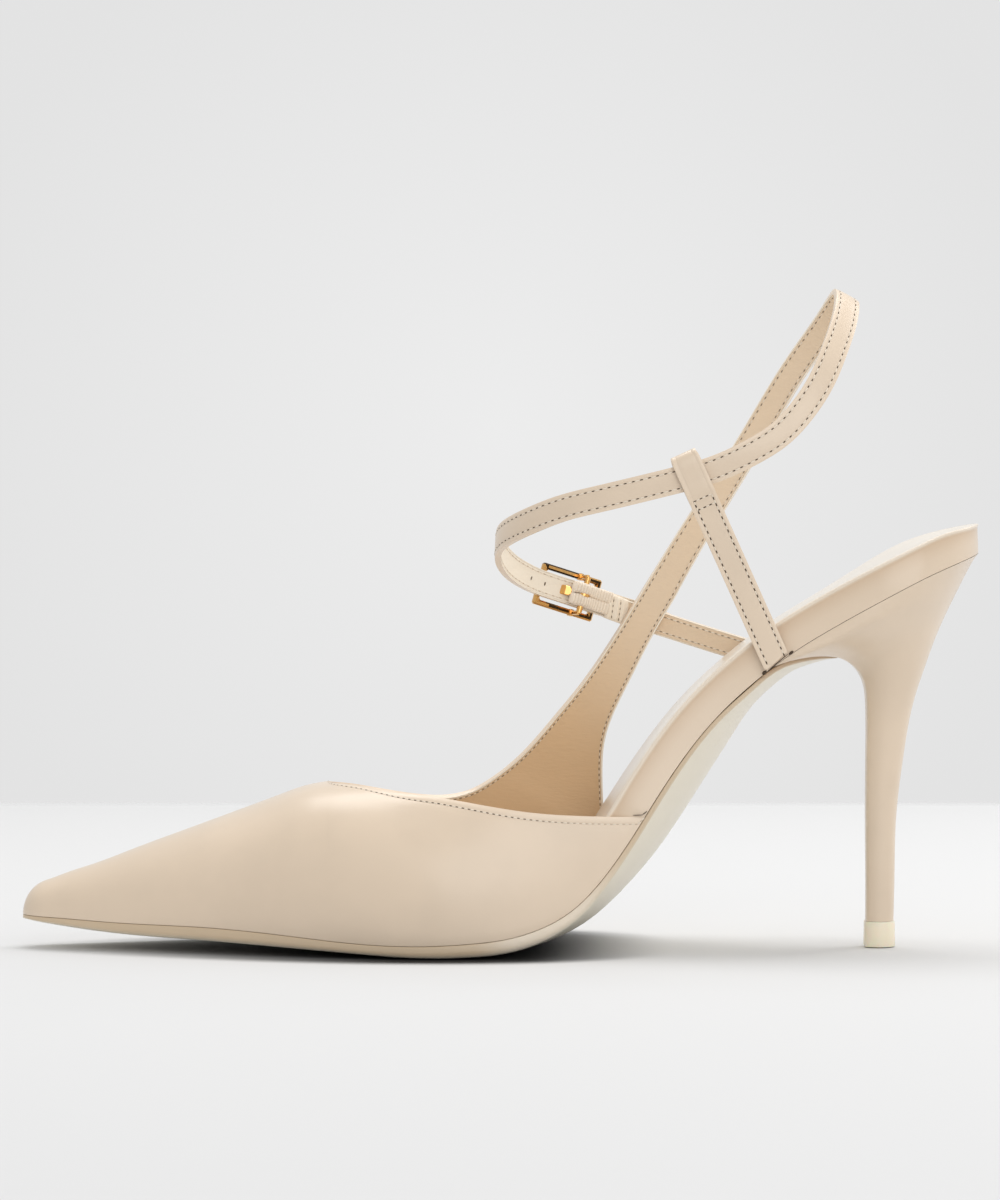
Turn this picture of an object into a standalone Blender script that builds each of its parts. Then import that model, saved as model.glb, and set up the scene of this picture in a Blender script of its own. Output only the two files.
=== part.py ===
# Right shoe of a pair: pointed toe pump with an ankle strap and a slim heel.
# Toe towards -X, inner (medial) side towards -Y, floor at Z = 0. Tables are in millimetres.
import math
from collections import namedtuple

import bmesh
import bpy
import numpy as np
from mathutils import Vector

MM = 0.001
SHOE_LENGTH = 239.0
ACROSS_MIDDLE = 1.0

# Leather and joints
GAP = 0.3
WALL = 1.5
STRAP_THICK = 1.6
STRAP_CHAMFER = 0.45
SLOPE_STEP = 0.2

# Ends of the sole outline
TOE_ROUND = 6.0
HEEL_ROUND = 25.0
BEND_STEP = 6.0
END_STEPS = 6
END_FACET = 0.15

# The line where upper and sole meet. height is on the inner edge, drop is how much lower the outer edge is,
# pad is the footbed, edge and belly are the outsole at its rim and on its middle line.
Sole = namedtuple("Sole", "station height medial lateral drop pad edge belly")
SOLE = [
    Sole(0.0, 8.1, 5.0, 5.0, 0.0, 2.4, 0.8, 1.0),
    Sole(10.0, 7.75, 8.5, 8.5, 0.0, 2.6, 1.7, 2.4),
    Sole(25.0, 7.05, 14.0, 14.0, 0.0, 2.8, 2.65, 3.4),
    Sole(45.0, 6.7, 21.3, 21.0, 0.0, 3.0, 3.25, 4.1),
    Sole(65.0, 5.35, 27.3, 27.0, 0.0, 3.0, 3.05, 4.2),
    Sole(85.0, 3.5, 32.3, 31.8, 0.0, 3.0, 2.5, 3.9),
    Sole(100.0, 3.15, 35.0, 34.8, 0.0, 3.0, 2.95, 4.0),
    Sole(112.0, 3.75, 35.0, 36.7, 0.0, 3.2, 3.35, 4.3),
    Sole(122.0, 4.95, 33.2, 37.4, 0.2, 3.6, 3.45, 4.9),
    Sole(130.0, 7.4, 31.2, 37.2, 0.5, 4.5, 3.1, 5.5),
    Sole(139.0, 12.9, 28.6, 35.8, 1.0, 6.0, 2.4, 6.3),
    Sole(145.5, 19.95, 26.8, 34.2, 1.5, 7.3, 1.8, 7.0),
    Sole(152.0, 29.1, 25.1, 32.4, 1.9, 8.0, 1.5, 8.0),
    Sole(158.0, 38.6, 23.9, 30.6, 2.1, 8.2, 1.4, 8.4),
    Sole(165.5, 49.6, 22.6, 28.6, 2.0, 8.3, 1.3, 8.0),
    Sole(173.0, 58.6, 21.8, 26.9, 1.6, 8.3, 1.3, 6.7),
    Sole(180.6, 65.8, 21.5, 25.6, 1.2, 8.3, 1.3, 4.6),
    Sole(190.0, 73.3, 22.0, 25.2, 0.7, 8.3, 1.3, 3.2),
    Sole(200.0, 79.7, 23.1, 25.4, 0.3, 8.3, 1.3, 3.2),
    Sole(215.5, 88.4, 25.0, 26.0, 0.0, 8.1, 1.3, 3.2),
    Sole(225.0, 93.2, 25.6, 25.9, 0.0, 7.8, 1.3, 3.2),
    Sole(239.0, 98.6, 25.6, 25.6, 0.0, 7.2, 1.3, 3.2),
]

# The end of the outsole, which leaves that line and runs under the lip of the heel
TONGUE_START = 178.0
TONGUE = [
    Sole(181.0, 65.95, 21.3, 25.2, 1.2, 0.0, 1.3, 4.6),
    Sole(185.0, 69.1, 20.6, 23.5, 1.0, 0.0, 1.3, 4.5),
    Sole(189.0, 71.25, 19.6, 21.4, 0.7, 0.0, 1.3, 4.0),
    Sole(193.0, 72.2, 17.6, 18.6, 0.4, 0.0, 1.3, 3.4),
    Sole(198.0, 72.55, 14.0, 14.4, 0.2, 0.0, 1.2, 2.6),
    Sole(202.0, 72.1, 10.0, 10.0, 0.0, 0.0, 1.0, 1.8),
    Sole(205.0, 71.3, 5.0, 5.0, 0.0, 0.0, 0.7, 1.0),
]

# Footbed
RAND_ROUND = 2.2
DISH = 0.9
INSOLE_START = 3.6
UPPER_END_MEDIAL = 155.6
UPPER_END_LATERAL = 147.0
STEP_LENGTH = 1.6
STEP_ROWS = 9
STEP_ROW_START = 146.0
STEP_ROW_PITCH = 1.3
INSET = 2.4
PLUMB_START = 196.0
PLUMB_END = 232.0

# Crown of the vamp from the toe to the throat
Crown = namedtuple("Crown", "station across height")
CROWN_ROUND = 6.0
CROWN = [
    Crown(0.0, 0.0, 16.0),
    Crown(5.0, 0.0, 16.4),
    Crown(11.0, -0.15, 18.5),
    Crown(17.0, -0.3, 20.45),
    Crown(28.0, -0.8, 24.6),
    Crown(42.0, -1.4, 29.8),
    Crown(56.0, -2.1, 35.0),
    Crown(64.0, -2.5, 38.0),
    Crown(71.5, -2.8, 40.6),
    Crown(76.5, -3.0, 41.5),
]

# Ribs of the sides behind the throat: foot on the sole line, top on the top line.
# reach is the part of the full arch, from the foot to the crown, that the side covers.
Rib = namedtuple("Rib", "foot station across height reach")
MEDIAL_RIBS = [
    Rib(76.5, 76.5, -3.0, 41.5, 1.00),
    Rib(80.0, 77.8, -8.2, 41.5, 0.89),
    Rib(86.0, 82.6, -13.5, 41.4, 0.79),
    Rib(93.5, 89.0, -18.0, 40.7, 0.70),
    Rib(101.0, 95.4, -21.5, 39.8, 0.63),
    Rib(111.0, 104.8, -25.2, 38.9, 0.55),
    Rib(120.5, 114.3, -27.2, 37.4, 0.48),
    Rib(129.5, 123.6, -28.0, 35.9, 0.43),
    Rib(138.0, 133.0, -27.6, 34.9, 0.39),
    Rib(145.5, 142.4, -26.2, 34.4, 0.36),
    Rib(151.0, 149.5, -24.9, 34.2, 0.35),
    Rib(154.2, 153.9, -24.4, 34.2, 0.35),
]
LATERAL_RIBS = [
    Rib(76.5, 76.5, -3.0, 41.5, 1.00),
    Rib(80.0, 77.6, 2.6, 41.1, 0.90),
    Rib(87.0, 82.3, 9.2, 40.2, 0.80),
    Rib(97.0, 89.0, 16.2, 38.6, 0.70),
    Rib(108.0, 97.0, 22.6, 36.9, 0.62),
    Rib(121.0, 104.9, 26.6, 36.2, 0.54),
    Rib(133.0, 110.8, 28.4, 37.1, 0.48),
    Rib(142.0, 116.0, 29.2, 39.6, 0.45),
    Rib(146.0, 119.5, 29.4, 42.0, 0.43),
]
# The outer side goes on as a wing, between a rear edge and the top line
Wing = namedtuple("Wing", "rear_station rear_across rear_height station across height reach")
WING = [
    Wing(146.3, 33.9, 27.0, 121.5, 29.4, 43.6, 0.42),
    Wing(146.0, 33.5, 34.0, 124.5, 29.3, 46.3, 0.41),
    Wing(145.8, 32.6, 41.0, 128.8, 29.1, 50.9, 0.40),
    Wing(146.2, 31.4, 48.8, 133.5, 28.8, 56.5, 0.40),
    Wing(148.5, 30.2, 56.6, 139.0, 28.4, 63.2, 0.40),
    Wing(152.7, 29.2, 65.4, 145.0, 27.8, 71.6, 0.40),
    Wing(158.0, 28.4, 75.9, 151.0, 27.4, 81.0, 0.40),
    Wing(164.4, 27.7, 86.9, 157.2, 27.3, 91.1, 0.40),
]
FULLNESS = 2.3
BULGE = 1.4
ARCH_STEPS = 9
MEDIAL_STEPS = 14
LATERAL_STEPS = 26

# Rings of the heel from the seat down: front and back of each ring, half its width, and how flat its front is
Ring = namedtuple("Ring", "front front_height back back_height half flat")
HEEL_SEAT_FRONT = 186.8
HEEL = [
    Ring(190.6, 72.2, 237.6, 96.6, 24.6, 0.84),
    Ring(194.4, 72.9, 236.0, 93.6, 23.0, 0.80),
    Ring(198.6, 73.2, 233.6, 88.8, 20.0, 0.75),
    Ring(202.6, 72.9, 231.0, 83.4, 16.2, 0.70),
    Ring(206.0, 71.6, 228.2, 76.8, 12.4, 0.65),
    Ring(208.6, 69.4, 226.0, 70.6, 9.6, 0.62),
    Ring(210.4, 66.0, 224.1, 65.0, 7.8, 0.60),
    Ring(211.1, 60.0, 222.4, 58.8, 6.5, 0.60),
    Ring(211.1, 48.0, 220.5, 47.6, 5.3, 0.60),
    Ring(211.0, 32.0, 218.7, 32.0, 4.5, 0.60),
    Ring(211.1, 18.0, 218.35, 18.0, 4.1, 0.60),
    Ring(211.1, 6.4, 218.1, 6.4, 4.0, 0.60),
]
HEEL_WIDEST = 0.45
HEEL_SIDE_STEPS = 11
TIP_HEIGHT = 6.1
TIP_FRONT = 210.8
TIP_BACK = 218.4
TIP_HALF = 4.2
TIP_FLARE = 0.12

# Ankle strap: middle of the strap, half its width, and the way its outer side faces
Strap = namedtuple("Strap", "station across height half face_x face_y face_z")
ANKLE_STRAP = [
    Strap(161.0, 26.8, 89.35, 4.1, 0.00, 1.00, 0.00),
    Strap(168.6, 26.1, 102.3, 3.8, 0.05, 1.00, 0.03),
    Strap(181.9, 23.2, 124.0, 3.45, 0.18, 0.97, 0.10),
    Strap(194.4, 16.3, 145.3, 3.35, 0.42, 0.78, 0.45),
    Strap(202.3, 8.5, 157.2, 3.3, 0.50, 0.42, 0.76),
    Strap(205.6, 0.0, 162.3, 3.3, 0.47, 0.00, 0.88),
    Strap(205.0, -9.0, 157.4, 3.3, 0.50, -0.45, 0.74),
    Strap(201.9, -17.0, 149.0, 3.3, 0.40, -0.80, 0.45),
    Strap(198.5, -22.0, 141.5, 3.3, 0.25, -0.95, 0.20),
    Strap(193.5, -25.5, 134.0, 3.3, 0.12, -0.99, 0.08),
    Strap(187.9, -27.5, 128.2, 3.3, 0.05, -1.00, 0.00),
    Strap(181.6, -28.6, 124.2, 3.3, 0.00, -1.00, -0.06),
    Strap(170.6, -29.0, 119.3, 3.3, 0.00, -1.00, -0.11),
    Strap(162.7, -29.0, 117.1, 3.3, 0.00, -1.00, -0.11),
    Strap(153.6, -28.5, 114.8, 3.3, -0.03, -1.00, -0.05),
    Strap(144.3, -27.0, 112.5, 3.3, -0.13, -0.99, 0.00),
    Strap(135.0, -23.5, 110.0, 3.3, -0.36, -0.93, 0.05),
    Strap(127.5, -17.6, 107.0, 3.3, -0.62, -0.78, 0.08),
    Strap(122.1, -10.0, 104.2, 3.3, -0.87, -0.48, 0.08),
    Strap(119.2, 0.0, 100.6, 3.3, -1.00, 0.00, 0.05),
    Strap(121.4, 9.8, 95.8, 3.3, -0.87, 0.50, 0.00),
    Strap(125.0, 17.0, 92.9, 3.3, -0.66, 0.75, 0.00),
    Strap(129.6, 21.6, 90.6, 3.3, -0.45, 0.89, 0.00),
    Strap(134.8, 24.0, 88.8, 3.3, -0.42, 0.91, 0.00),
    Strap(146.1, 29.2, 84.9, 3.3, -0.42, 0.91, 0.00),
    Strap(152.5, 31.5, 82.8, 3.3, -0.22, 0.97, 0.00),
    Strap(158.5, 32.1, 80.8, 3.3, -0.02, 1.00, 0.00),
    Strap(165.0, 31.9, 78.6, 2.2, 0.03, 1.00, 0.00),
]
STRAP_STEPS = 74
HOLE_PITCH = 4.15
HOLES_FORWARD = 2
HOLES_BEHIND = 2
HOLE_RADIUS = 0.8
PRONG_HOLE_LONG = 1.6
PRONG_HOLE_WIDE = 0.95

# Outer strap from the rand to the elastic
BUCKLE_STRAP = [
    Strap(147.6, 27.6, 84.2, 3.1, -0.42, 0.91, 0.00),
    Strap(152.6, 29.3, 82.3, 3.1, -0.20, 0.97, 0.00),
    Strap(160.0, 29.9, 79.9, 3.1, 0.00, 1.00, 0.00),
    Strap(172.0, 29.0, 76.1, 3.1, 0.06, 1.00, 0.00),
    Strap(184.0, 27.2, 72.4, 3.1, 0.08, 1.00, 0.00),
    Strap(191.5, 26.7, 69.9, 3.1, 0.05, 1.00, 0.00),
]
BUCKLE_STRAP_STEPS = 16

# Inner strap with its keeper loop
STAY_FOOT = (187.2, -23.0, 71.6)
STAY_TOP = (164.0, -29.55, 122.6)
STAY_HALF = 3.5
STAY_THICK = 1.8
KEEPER_SLOT_LONG = 9.4
KEEPER_SLOT_HALF = 1.2
KEEPER_LEATHER = 1.0
KEEPER_NECK = 3.4
# Edge of the stay at the keeper: how far from the start of the slot or from the top, and the share of the lid's height
Edge = namedtuple("Edge", "along share")
KEEPER_START = [Edge(-0.6, 0.8), Edge(1.2, 1.0)]
KEEPER_FOLD = [Edge(-2.2, 1.0), Edge(-0.6, 0.7), Edge(0.0, 0.25)]
SLOT_CORNER = 1.0
SLOT_START_HALF = 0.3
SLOT_END_HALF = 0.5

# Buckle. Sizes are along the strap (towards the heel), across it and out from its middle.
BUCKLE_HOLE_ROW = 23
BUCKLE_FRONT = -4.8
BUCKLE_REAR = 10.7
BUCKLE_RAIL = 4.75
BUCKLE_BAR_RADIUS = 0.75
BUCKLE_CORNER = 1.1
BUCKLE_OUT = 2.2
PIN_ALONG = 5.3
PIN_OUT = -3.25
PIN_RADIUS = 0.75
EYE_RADIUS = 1.6
EYE_TURNS = range(-150, 76, 25)
PRONG_RADIUS = 0.5
Bend = namedtuple("Bend", "along out")
PRONG = [
    Bend(2.4, -1.66),
    Bend(1.1, -1.2),
    Bend(-0.9, 1.2),
    Bend(-2.0, 2.5),
    Bend(-4.4, 3.8),
    Bend(-6.0, 3.75),
]
ELASTIC_HALF = 2.9
ELASTIC_LOOP = 2.0
ELASTIC_LOOP_TURNS = range(60, 331, 30)
ELASTIC_NECK = 3.6
ELASTIC_BORE = 1.1
ELASTIC_END = 12.6
ELASTIC_TAIL_TOP = -1.35
ELASTIC_TAIL_LOW = -3.15
ELASTIC_SLOT_HALF = 0.95
ELASTIC_SLOT_END = 8.6
ELASTIC_SLOT_LOW = -8.0
ELASTIC_SLOT_HIGH = 2.0
ROD_SIDES = 8

# Colours as seen in the photo, roughness and metal
Finish = namedtuple("Finish", "red green blue rough metal")
LEATHER = Finish(0.680, 0.570, 0.440, 0.22, 0.0)
SOLE_TAN = Finish(0.620, 0.520, 0.400, 0.55, 0.0)
FOOTBED = Finish(0.670, 0.560, 0.430, 0.30, 0.0)
HEEL_COVER = Finish(0.690, 0.580, 0.450, 0.22, 0.0)
TIP_CREAM = Finish(0.800, 0.660, 0.480, 0.40, 0.0)
RIBBED = Finish(0.600, 0.450, 0.290, 0.70, 0.0)
GOLD = Finish(0.720, 0.420, 0.130, 0.18, 1.0)

for old in list(bpy.data.objects):
    bpy.data.objects.remove(old, do_unlink=True)


def place(station, across, height):
    return Vector(((station - SHOE_LENGTH / 2) * MM, (across - ACROSS_MIDDLE) * MM, height * MM))


def smooth(rows, keys=None):
    # natural cubic spline through a table, keyed on its first column unless keys are given
    kind = type(rows[0])
    values = np.array(rows, dtype=float)
    x = np.array(keys if keys is not None else values[:, 0], dtype=float)
    count = len(x)
    step = np.diff(x)
    rise = np.diff(values, axis=0) / step[:, None]
    system = np.eye(count)
    right = np.zeros_like(values)
    for i in range(1, count - 1):
        system[i, i - 1] = step[i - 1]
        system[i, i] = 2 * (step[i - 1] + step[i])
        system[i, i + 1] = step[i]
        right[i] = 6 * (rise[i] - rise[i - 1])
    bend = np.linalg.solve(system, right)

    def at(key):
        key = min(max(key, x[0]), x[-1])
        i = min(int(np.searchsorted(x, key, side="right")) - 1, count - 2)
        a = (x[i + 1] - key) / step[i]
        b = 1.0 - a
        curve = ((a ** 3 - a) * bend[i] + (b ** 3 - b) * bend[i + 1]) * step[i] ** 2 / 6
        return kind(*(a * values[i] + b * values[i + 1] + curve))

    return at


def chord(points):
    # running length along a row of points
    out = [0.0]
    for a, b in zip(points, points[1:]):
        out.append(out[-1] + math.dist(a, b))
    return out


def ease(value, low, high):
    t = min(max((value - low) / (high - low), 0.0), 1.0)
    return t * t * (3 - 2 * t)


def rounded(station):
    # share of the full half width that the round ends of the outline leave
    if station < TOE_ROUND:
        return math.sqrt(max(1 - (1 - station / TOE_ROUND) ** 2, 0.0))
    past = station - (SHOE_LENGTH - HEEL_ROUND)
    if past > 0:
        return math.sqrt(max(1 - (past / HEEL_ROUND) ** 2, 0.0))
    return 1.0


sole_line = smooth(SOLE)
outsole_line = smooth([row for row in SOLE if row.station < TONGUE_START] + TONGUE)
crown_line = smooth(CROWN)


def medial(station):
    return sole_line(station).medial * rounded(station)


def lateral(station):
    return sole_line(station).lateral * rounded(station)


def on_line(line, station, across, lift, plumb=0.0):
    # a point over a sole line; lift is square to it, or upright where plumb is 1
    row = line(station)
    ahead = line(station + SLOPE_STEP).height
    behind = line(station - SLOPE_STEP).height
    slope = (1.0 - plumb) * (ahead - behind) / (2 * SLOPE_STEP)
    length = math.hypot(1.0, slope)
    share = (across + row.medial) / (row.medial + row.lateral)
    level = row.height - row.drop * share
    return (station - lift * slope / length, across, level + lift / length)


def material(name, finish):
    made = bpy.data.materials.new(name)
    made.use_nodes = True
    shader = made.node_tree.nodes["Principled BSDF"]
    shader.inputs["Base Color"].default_value = (finish.red, finish.green, finish.blue, 1.0)
    shader.inputs["Roughness"].default_value = finish.rough
    shader.inputs["Metallic"].default_value = finish.metal
    return made


def solid(name, points, faces, finish):
    mesh = bpy.data.meshes.new(name)
    mesh.from_pydata(points, [], faces)
    shape = bmesh.new()
    shape.from_mesh(mesh)
    bmesh.ops.recalc_face_normals(shape, faces=shape.faces)
    shape.to_mesh(mesh)
    shape.free()
    made = bpy.data.objects.new(name, mesh)
    bpy.context.scene.collection.objects.link(made)
    if finish is None:
        made.hide_render = True
        made.display_type = "WIRE"
    else:
        mesh.materials.append(material(name + "_finish", finish))
    return made


def lofted(name, rings, finish, closed=False):
    # skin over rings of equally many points, capped at both ends unless the row of rings closes on itself
    size = len(rings[0])
    points = [p for ring in rings for p in ring]
    faces = []
    last = len(rings) if closed else len(rings) - 1
    for i in range(last):
        near = i * size
        far = (i + 1) % len(rings) * size
        for j in range(size):
            k = (j + 1) % size
            faces.append((near + j, near + k, far + k, far + j))
    if not closed:
        faces.append(tuple(reversed(range(size))))
        faces.append(tuple(range(len(points) - size, len(points))))
    return solid(name, points, faces, finish)


def cut(body, tool, operation="DIFFERENCE"):
    step = body.modifiers.new(tool.name, "BOOLEAN")
    step.object = tool
    step.operation = operation
    step.solver = "EXACT"


def toe_stations(first, last):
    # stations close together in the round toe and even behind it
    toe = [TOE_ROUND * (1 - math.cos(math.radians(90 * i / END_STEPS))) for i in range(1, END_STEPS + 1)]
    count = math.ceil((last - TOE_ROUND) / BEND_STEP)
    behind = [TOE_ROUND + (last - TOE_ROUND) * i / count for i in range(1, count + 1)]
    return [first] + [s for s in toe if s > first + END_FACET] + behind


def heel_stations(first, last):
    # stations closer together towards the round back of the heel
    turn = math.asin((last - first) / HEEL_ROUND)
    return [first + HEEL_ROUND * math.sin(turn * i / END_STEPS) for i in range(1, END_STEPS + 1)]


# Outsole
BOTTOM_STEPS = 10
OUTSOLE_START = 0.25
EDGE_BEVEL = 0.35


def outsole_ring(station):
    row = outsole_line(station)
    low = -row.medial * rounded(station)
    high = row.lateral * rounded(station)
    bevel = min(EDGE_BEVEL * row.edge, (high - low) / 6)
    ring = [(low, 0.0), (low, -(row.edge - bevel))]
    for i in range(BOTTOM_STEPS + 1):
        f = 2 * i / BOTTOM_STEPS - 1
        across = (low + high) / 2 + f * ((high - low) / 2 - bevel)
        ring.append((across, -(row.edge + (row.belly - row.edge) * (1 - f * f))))
    ring += [(high, -(row.edge - bevel)), (high, 0.0)]
    out = []
    for across, lift in ring:
        x, y, z = on_line(outsole_line, station, across, lift - GAP / 2)
        out.append(place(x, y, max(z, 0.0)))
    return out


outsole_stations = toe_stations(OUTSOLE_START, TONGUE[-1].station)
lofted("outsole", [outsole_ring(s) for s in outsole_stations], SOLE_TAN)


# Insole, narrower where it lies inside the upper
def insole_ring(station):
    row = sole_line(station)
    plumb = ease(station, PLUMB_START, PLUMB_END)
    inset = INSET * (1 - ease(station, UPPER_END_MEDIAL, UPPER_END_MEDIAL + STEP_LENGTH))
    low = inset - medial(station)
    high = lateral(station)
    middle = (low + high) / 2
    half = (high - low) / 2
    r = min(RAND_ROUND, 0.4 * half, 0.45 * row.pad)
    side = [(0.0, GAP / 2), (0.0, row.pad - r), (0.3 * r, row.pad - 0.3 * r), (r, row.pad)]
    hollow = DISH * min(half / 20, 1.0)
    ring = [(low + d, lift) for d, lift in side]
    ring.append((middle - half / 2, row.pad - 0.7 * hollow))
    ring.append((middle, row.pad - hollow))
    ring.append((middle + half / 2, row.pad - 0.7 * hollow))
    for d, lift in reversed(side):
        x = on_line(sole_line, station, high, lift, plumb)[0]
        step = INSET * (1 - ease(x, UPPER_END_LATERAL, UPPER_END_LATERAL + STEP_LENGTH))
        ring.append((high - d - step, lift))
    ring.append((middle, GAP / 2))
    return [place(*on_line(sole_line, station, y, lift, plumb)) for y, lift in ring]


insole_stations = toe_stations(INSOLE_START, SHOE_LENGTH - HEEL_ROUND)
insole_stations += heel_stations(SHOE_LENGTH - HEEL_ROUND, SHOE_LENGTH - END_FACET)
insole_stations += [STEP_ROW_START + STEP_ROW_PITCH * i for i in range(STEP_ROWS)]
lofted("insole", [insole_ring(s) for s in sorted(insole_stations)], FOOTBED)


# Upper: ribs over the last, each from a foot to a top, then a wall of even thickness inwards
def rib_points(foot, top, reach, side):
    full = reach * math.pi / 2
    power = 2 / FULLNESS
    end_up = math.sin(full) ** power
    end_in = max(math.cos(full), 0.0) ** power
    swell = BULGE * min(abs(foot[1] - top[1]) / 12, 1.0)
    out = []
    for i in range(ARCH_STEPS + 1):
        angle = full * i / ARCH_STEPS
        up = math.sin(angle) ** power / end_up
        inner = 1 - (max(math.cos(angle), 0.0) ** power - end_in) / (1 - end_in)
        x = foot[0] + (top[0] - foot[0]) * up
        y = foot[1] + (top[1] - foot[1]) * inner
        z = foot[2] + (top[2] - foot[2]) * up
        out.append((x, y + side * swell * math.sin(math.pi * i / ARCH_STEPS) ** 2 * (1 - up), z))
    return out


def feather(station, side):
    across = lateral(station) if side > 0 else -medial(station)
    return on_line(sole_line, station, across, GAP / 2)


def crown_point(station):
    row = crown_line(station)
    base = sole_line(station).height
    t = min(station / CROWN_ROUND, 1.0)
    return (station, row.across, base + (row.height - base) * math.sqrt(1 - (1 - t) ** 2))


def toe_row(station):
    top = crown_point(station)
    inner = rib_points(feather(station, -1), top, 1.0, -1)
    outer = rib_points(feather(station, 1), top, 1.0, 1)
    return inner + outer[-2::-1]


def medial_rows():
    keys = [row.foot for row in MEDIAL_RIBS]
    curve = smooth(MEDIAL_RIBS)
    rows = []
    for i in range(1, MEDIAL_STEPS + 1):
        row = curve(keys[0] + (keys[-1] - keys[0]) * i / MEDIAL_STEPS)
        rows.append(rib_points(feather(row.foot, -1), (row.station, row.across, row.height), row.reach, -1))
    return rows


def lateral_rows():
    ribs = []
    for row in LATERAL_RIBS:
        ribs.append(Wing(*feather(row.foot, 1), row.station, row.across, row.height, row.reach))
    corner = len(ribs) - 1
    ribs += WING
    length = chord([(row.rear_station + row.station, row.rear_height + row.height) for row in ribs])
    curve = smooth(ribs, length)
    rows = []
    for i in range(1, LATERAL_STEPS + 1):
        key = length[-1] * i / LATERAL_STEPS
        row = curve(key)
        foot = (row.rear_station, row.rear_across, row.rear_height)
        if key < length[corner]:
            foot = feather(row.rear_station, 1)
        rows.append(rib_points(foot, (row.station, row.across, row.height), row.reach, 1))
    return rows


def upper_sheet():
    # points and faces of the outer skin, and the numbers of the points that stand on the sole
    points = []
    faces = []
    feet = []

    def add(row):
        points.extend(row)
        return list(range(len(points) - len(row), len(points)))

    def strip(a, b):
        for j in range(len(a) - 1):
            faces.append((a[j], b[j], b[j + 1], a[j + 1]))

    rows = [add(toe_row(s)) for s in toe_stations(OUTSOLE_START, CROWN[-1].station)]
    faces.append(tuple(rows[0]))
    for a, b in zip(rows, rows[1:]):
        strip(a, b)
    feet += [row[0] for row in rows] + [row[-1] for row in rows]
    side = rows[-1][:ARCH_STEPS + 1]
    for ribs in medial_rows():
        new = add(ribs)
        strip(side, new)
        feet.append(new[0])
        side = new
    side = rows[-1][ARCH_STEPS:]
    for ribs in lateral_rows():
        new = add(ribs[::-1])
        strip(side, new)
        if points[new[-1]][2] < WING[0].rear_height - GAP:
            feet.append(new[-1])
        side = new
    return points, faces, set(feet)


def upper():
    points, faces, feet = upper_sheet()
    mesh = bpy.data.meshes.new("upper_skin")
    mesh.from_pydata(points, [], faces)
    mesh.update()
    inner = []
    for v in mesh.vertices:
        inward = -v.normal
        if v.index in feet:
            inward.z = 0.0
            inward.normalize()
        inner.append(tuple(v.co + inward * WALL))
    bpy.data.meshes.remove(mesh)
    count = len(points)
    sides = {}
    for face in faces:
        for a, b in zip(face, face[1:] + face[:1]):
            sides[(a, b)] = True
    rim = [(b, a, a + count, b + count) for a, b in sides if (b, a) not in sides]
    every = faces + [tuple(v + count for v in reversed(face)) for face in faces] + rim
    solid("upper", [place(*p) for p in points + inner], every, LEATHER)


upper()


# Heel and its tip
def heel_shape(f, flat):
    if f < HEEL_WIDEST:
        return 1 - (1 - flat) * ((HEEL_WIDEST - f) / HEEL_WIDEST) ** 2
    return math.sqrt(max(1 - ((f - HEEL_WIDEST) / (1 - HEEL_WIDEST)) ** 2, 0.0))


HEEL_LAST_SHARE = 0.995
heel_shares = [HEEL_LAST_SHARE * (1 - math.cos(math.pi * j / HEEL_SIDE_STEPS)) / 2
               for j in range(HEEL_SIDE_STEPS + 1)]


def flat_ring(row):
    left = []
    right = []
    for f in heel_shares:
        x = row.front + f * (row.back - row.front)
        z = row.front_height + f * (row.back_height - row.front_height)
        half = row.half * heel_shape(f, row.flat)
        left.append(place(x, -half, z))
        right.append(place(x, half, z))
    return left + right[::-1]


def seat_ring():
    left = []
    right = []
    for f in heel_shares:
        s = HEEL_SEAT_FRONT + f * (SHOE_LENGTH - END_FACET - HEEL_SEAT_FRONT)
        left.append(place(*on_line(sole_line, s, -medial(s), -GAP / 2, 1.0)))
        right.append(place(*on_line(sole_line, s, lateral(s), -GAP / 2, 1.0)))
    return left + right[::-1]


def banded(name, rings, finish):
    # like lofted, but the end rings are closed by bands from side to side so that a bent seat stays bent
    size = len(rings[0])
    points = [p for ring in rings for p in ring]
    faces = []
    for i in range(len(rings) - 1):
        for j in range(size):
            k = (j + 1) % size
            faces.append((i * size + j, i * size + k, (i + 1) * size + k, (i + 1) * size + j))
    far = len(points) - size
    for j in range(size // 2 - 1):
        k = size - 1 - j
        faces.append((k, k - 1, j + 1, j))
        faces.append((far + j, far + j + 1, far + k - 1, far + k))
    return solid(name, points, faces, finish)


banded("heel", [seat_ring()] + [flat_ring(row) for row in HEEL], HEEL_COVER)
tip_rows = [Ring(TIP_FRONT, TIP_HEIGHT, TIP_BACK, TIP_HEIGHT, TIP_HALF, HEEL[-1].flat),
            Ring(TIP_FRONT - TIP_FLARE, 0.0, TIP_BACK + TIP_FLARE, 0.0, TIP_HALF + TIP_FLARE, HEEL[-1].flat)]
banded("heel_tip", [flat_ring(row) for row in tip_rows], TIP_CREAM)


# Straps
def strap_curve(rows):
    length = chord([row[:3] for row in rows])
    return smooth(rows, length), length


def strap_frame(curve, key):
    # middle, way along, way across and way out of a strap
    row = curve(key)
    along = Vector(curve(key + SLOPE_STEP)[:3]) - Vector(curve(key - SLOPE_STEP)[:3])
    along.normalize()
    across = along.cross(Vector(row[4:])).normalized()
    out = across.cross(along)
    return Vector(row[:3]), along, across, out, row.half


def strap(name, rows, steps, finish):
    curve, length = strap_curve(rows)
    t = STRAP_THICK / 2
    c = STRAP_CHAMFER
    rings = []
    for i in range(steps + 1):
        middle, along, across, out, h = strap_frame(curve, length[-1] * i / steps)
        corners = [(h, c - t), (h, t - c), (h - c, t), (c - h, t), (-h, t - c), (-h, c - t), (c - h, -t), (h - c, -t)]
        rings.append([place(*(middle + across * a + out * b)) for a, b in corners])
    return lofted(name, rings, finish)


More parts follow.
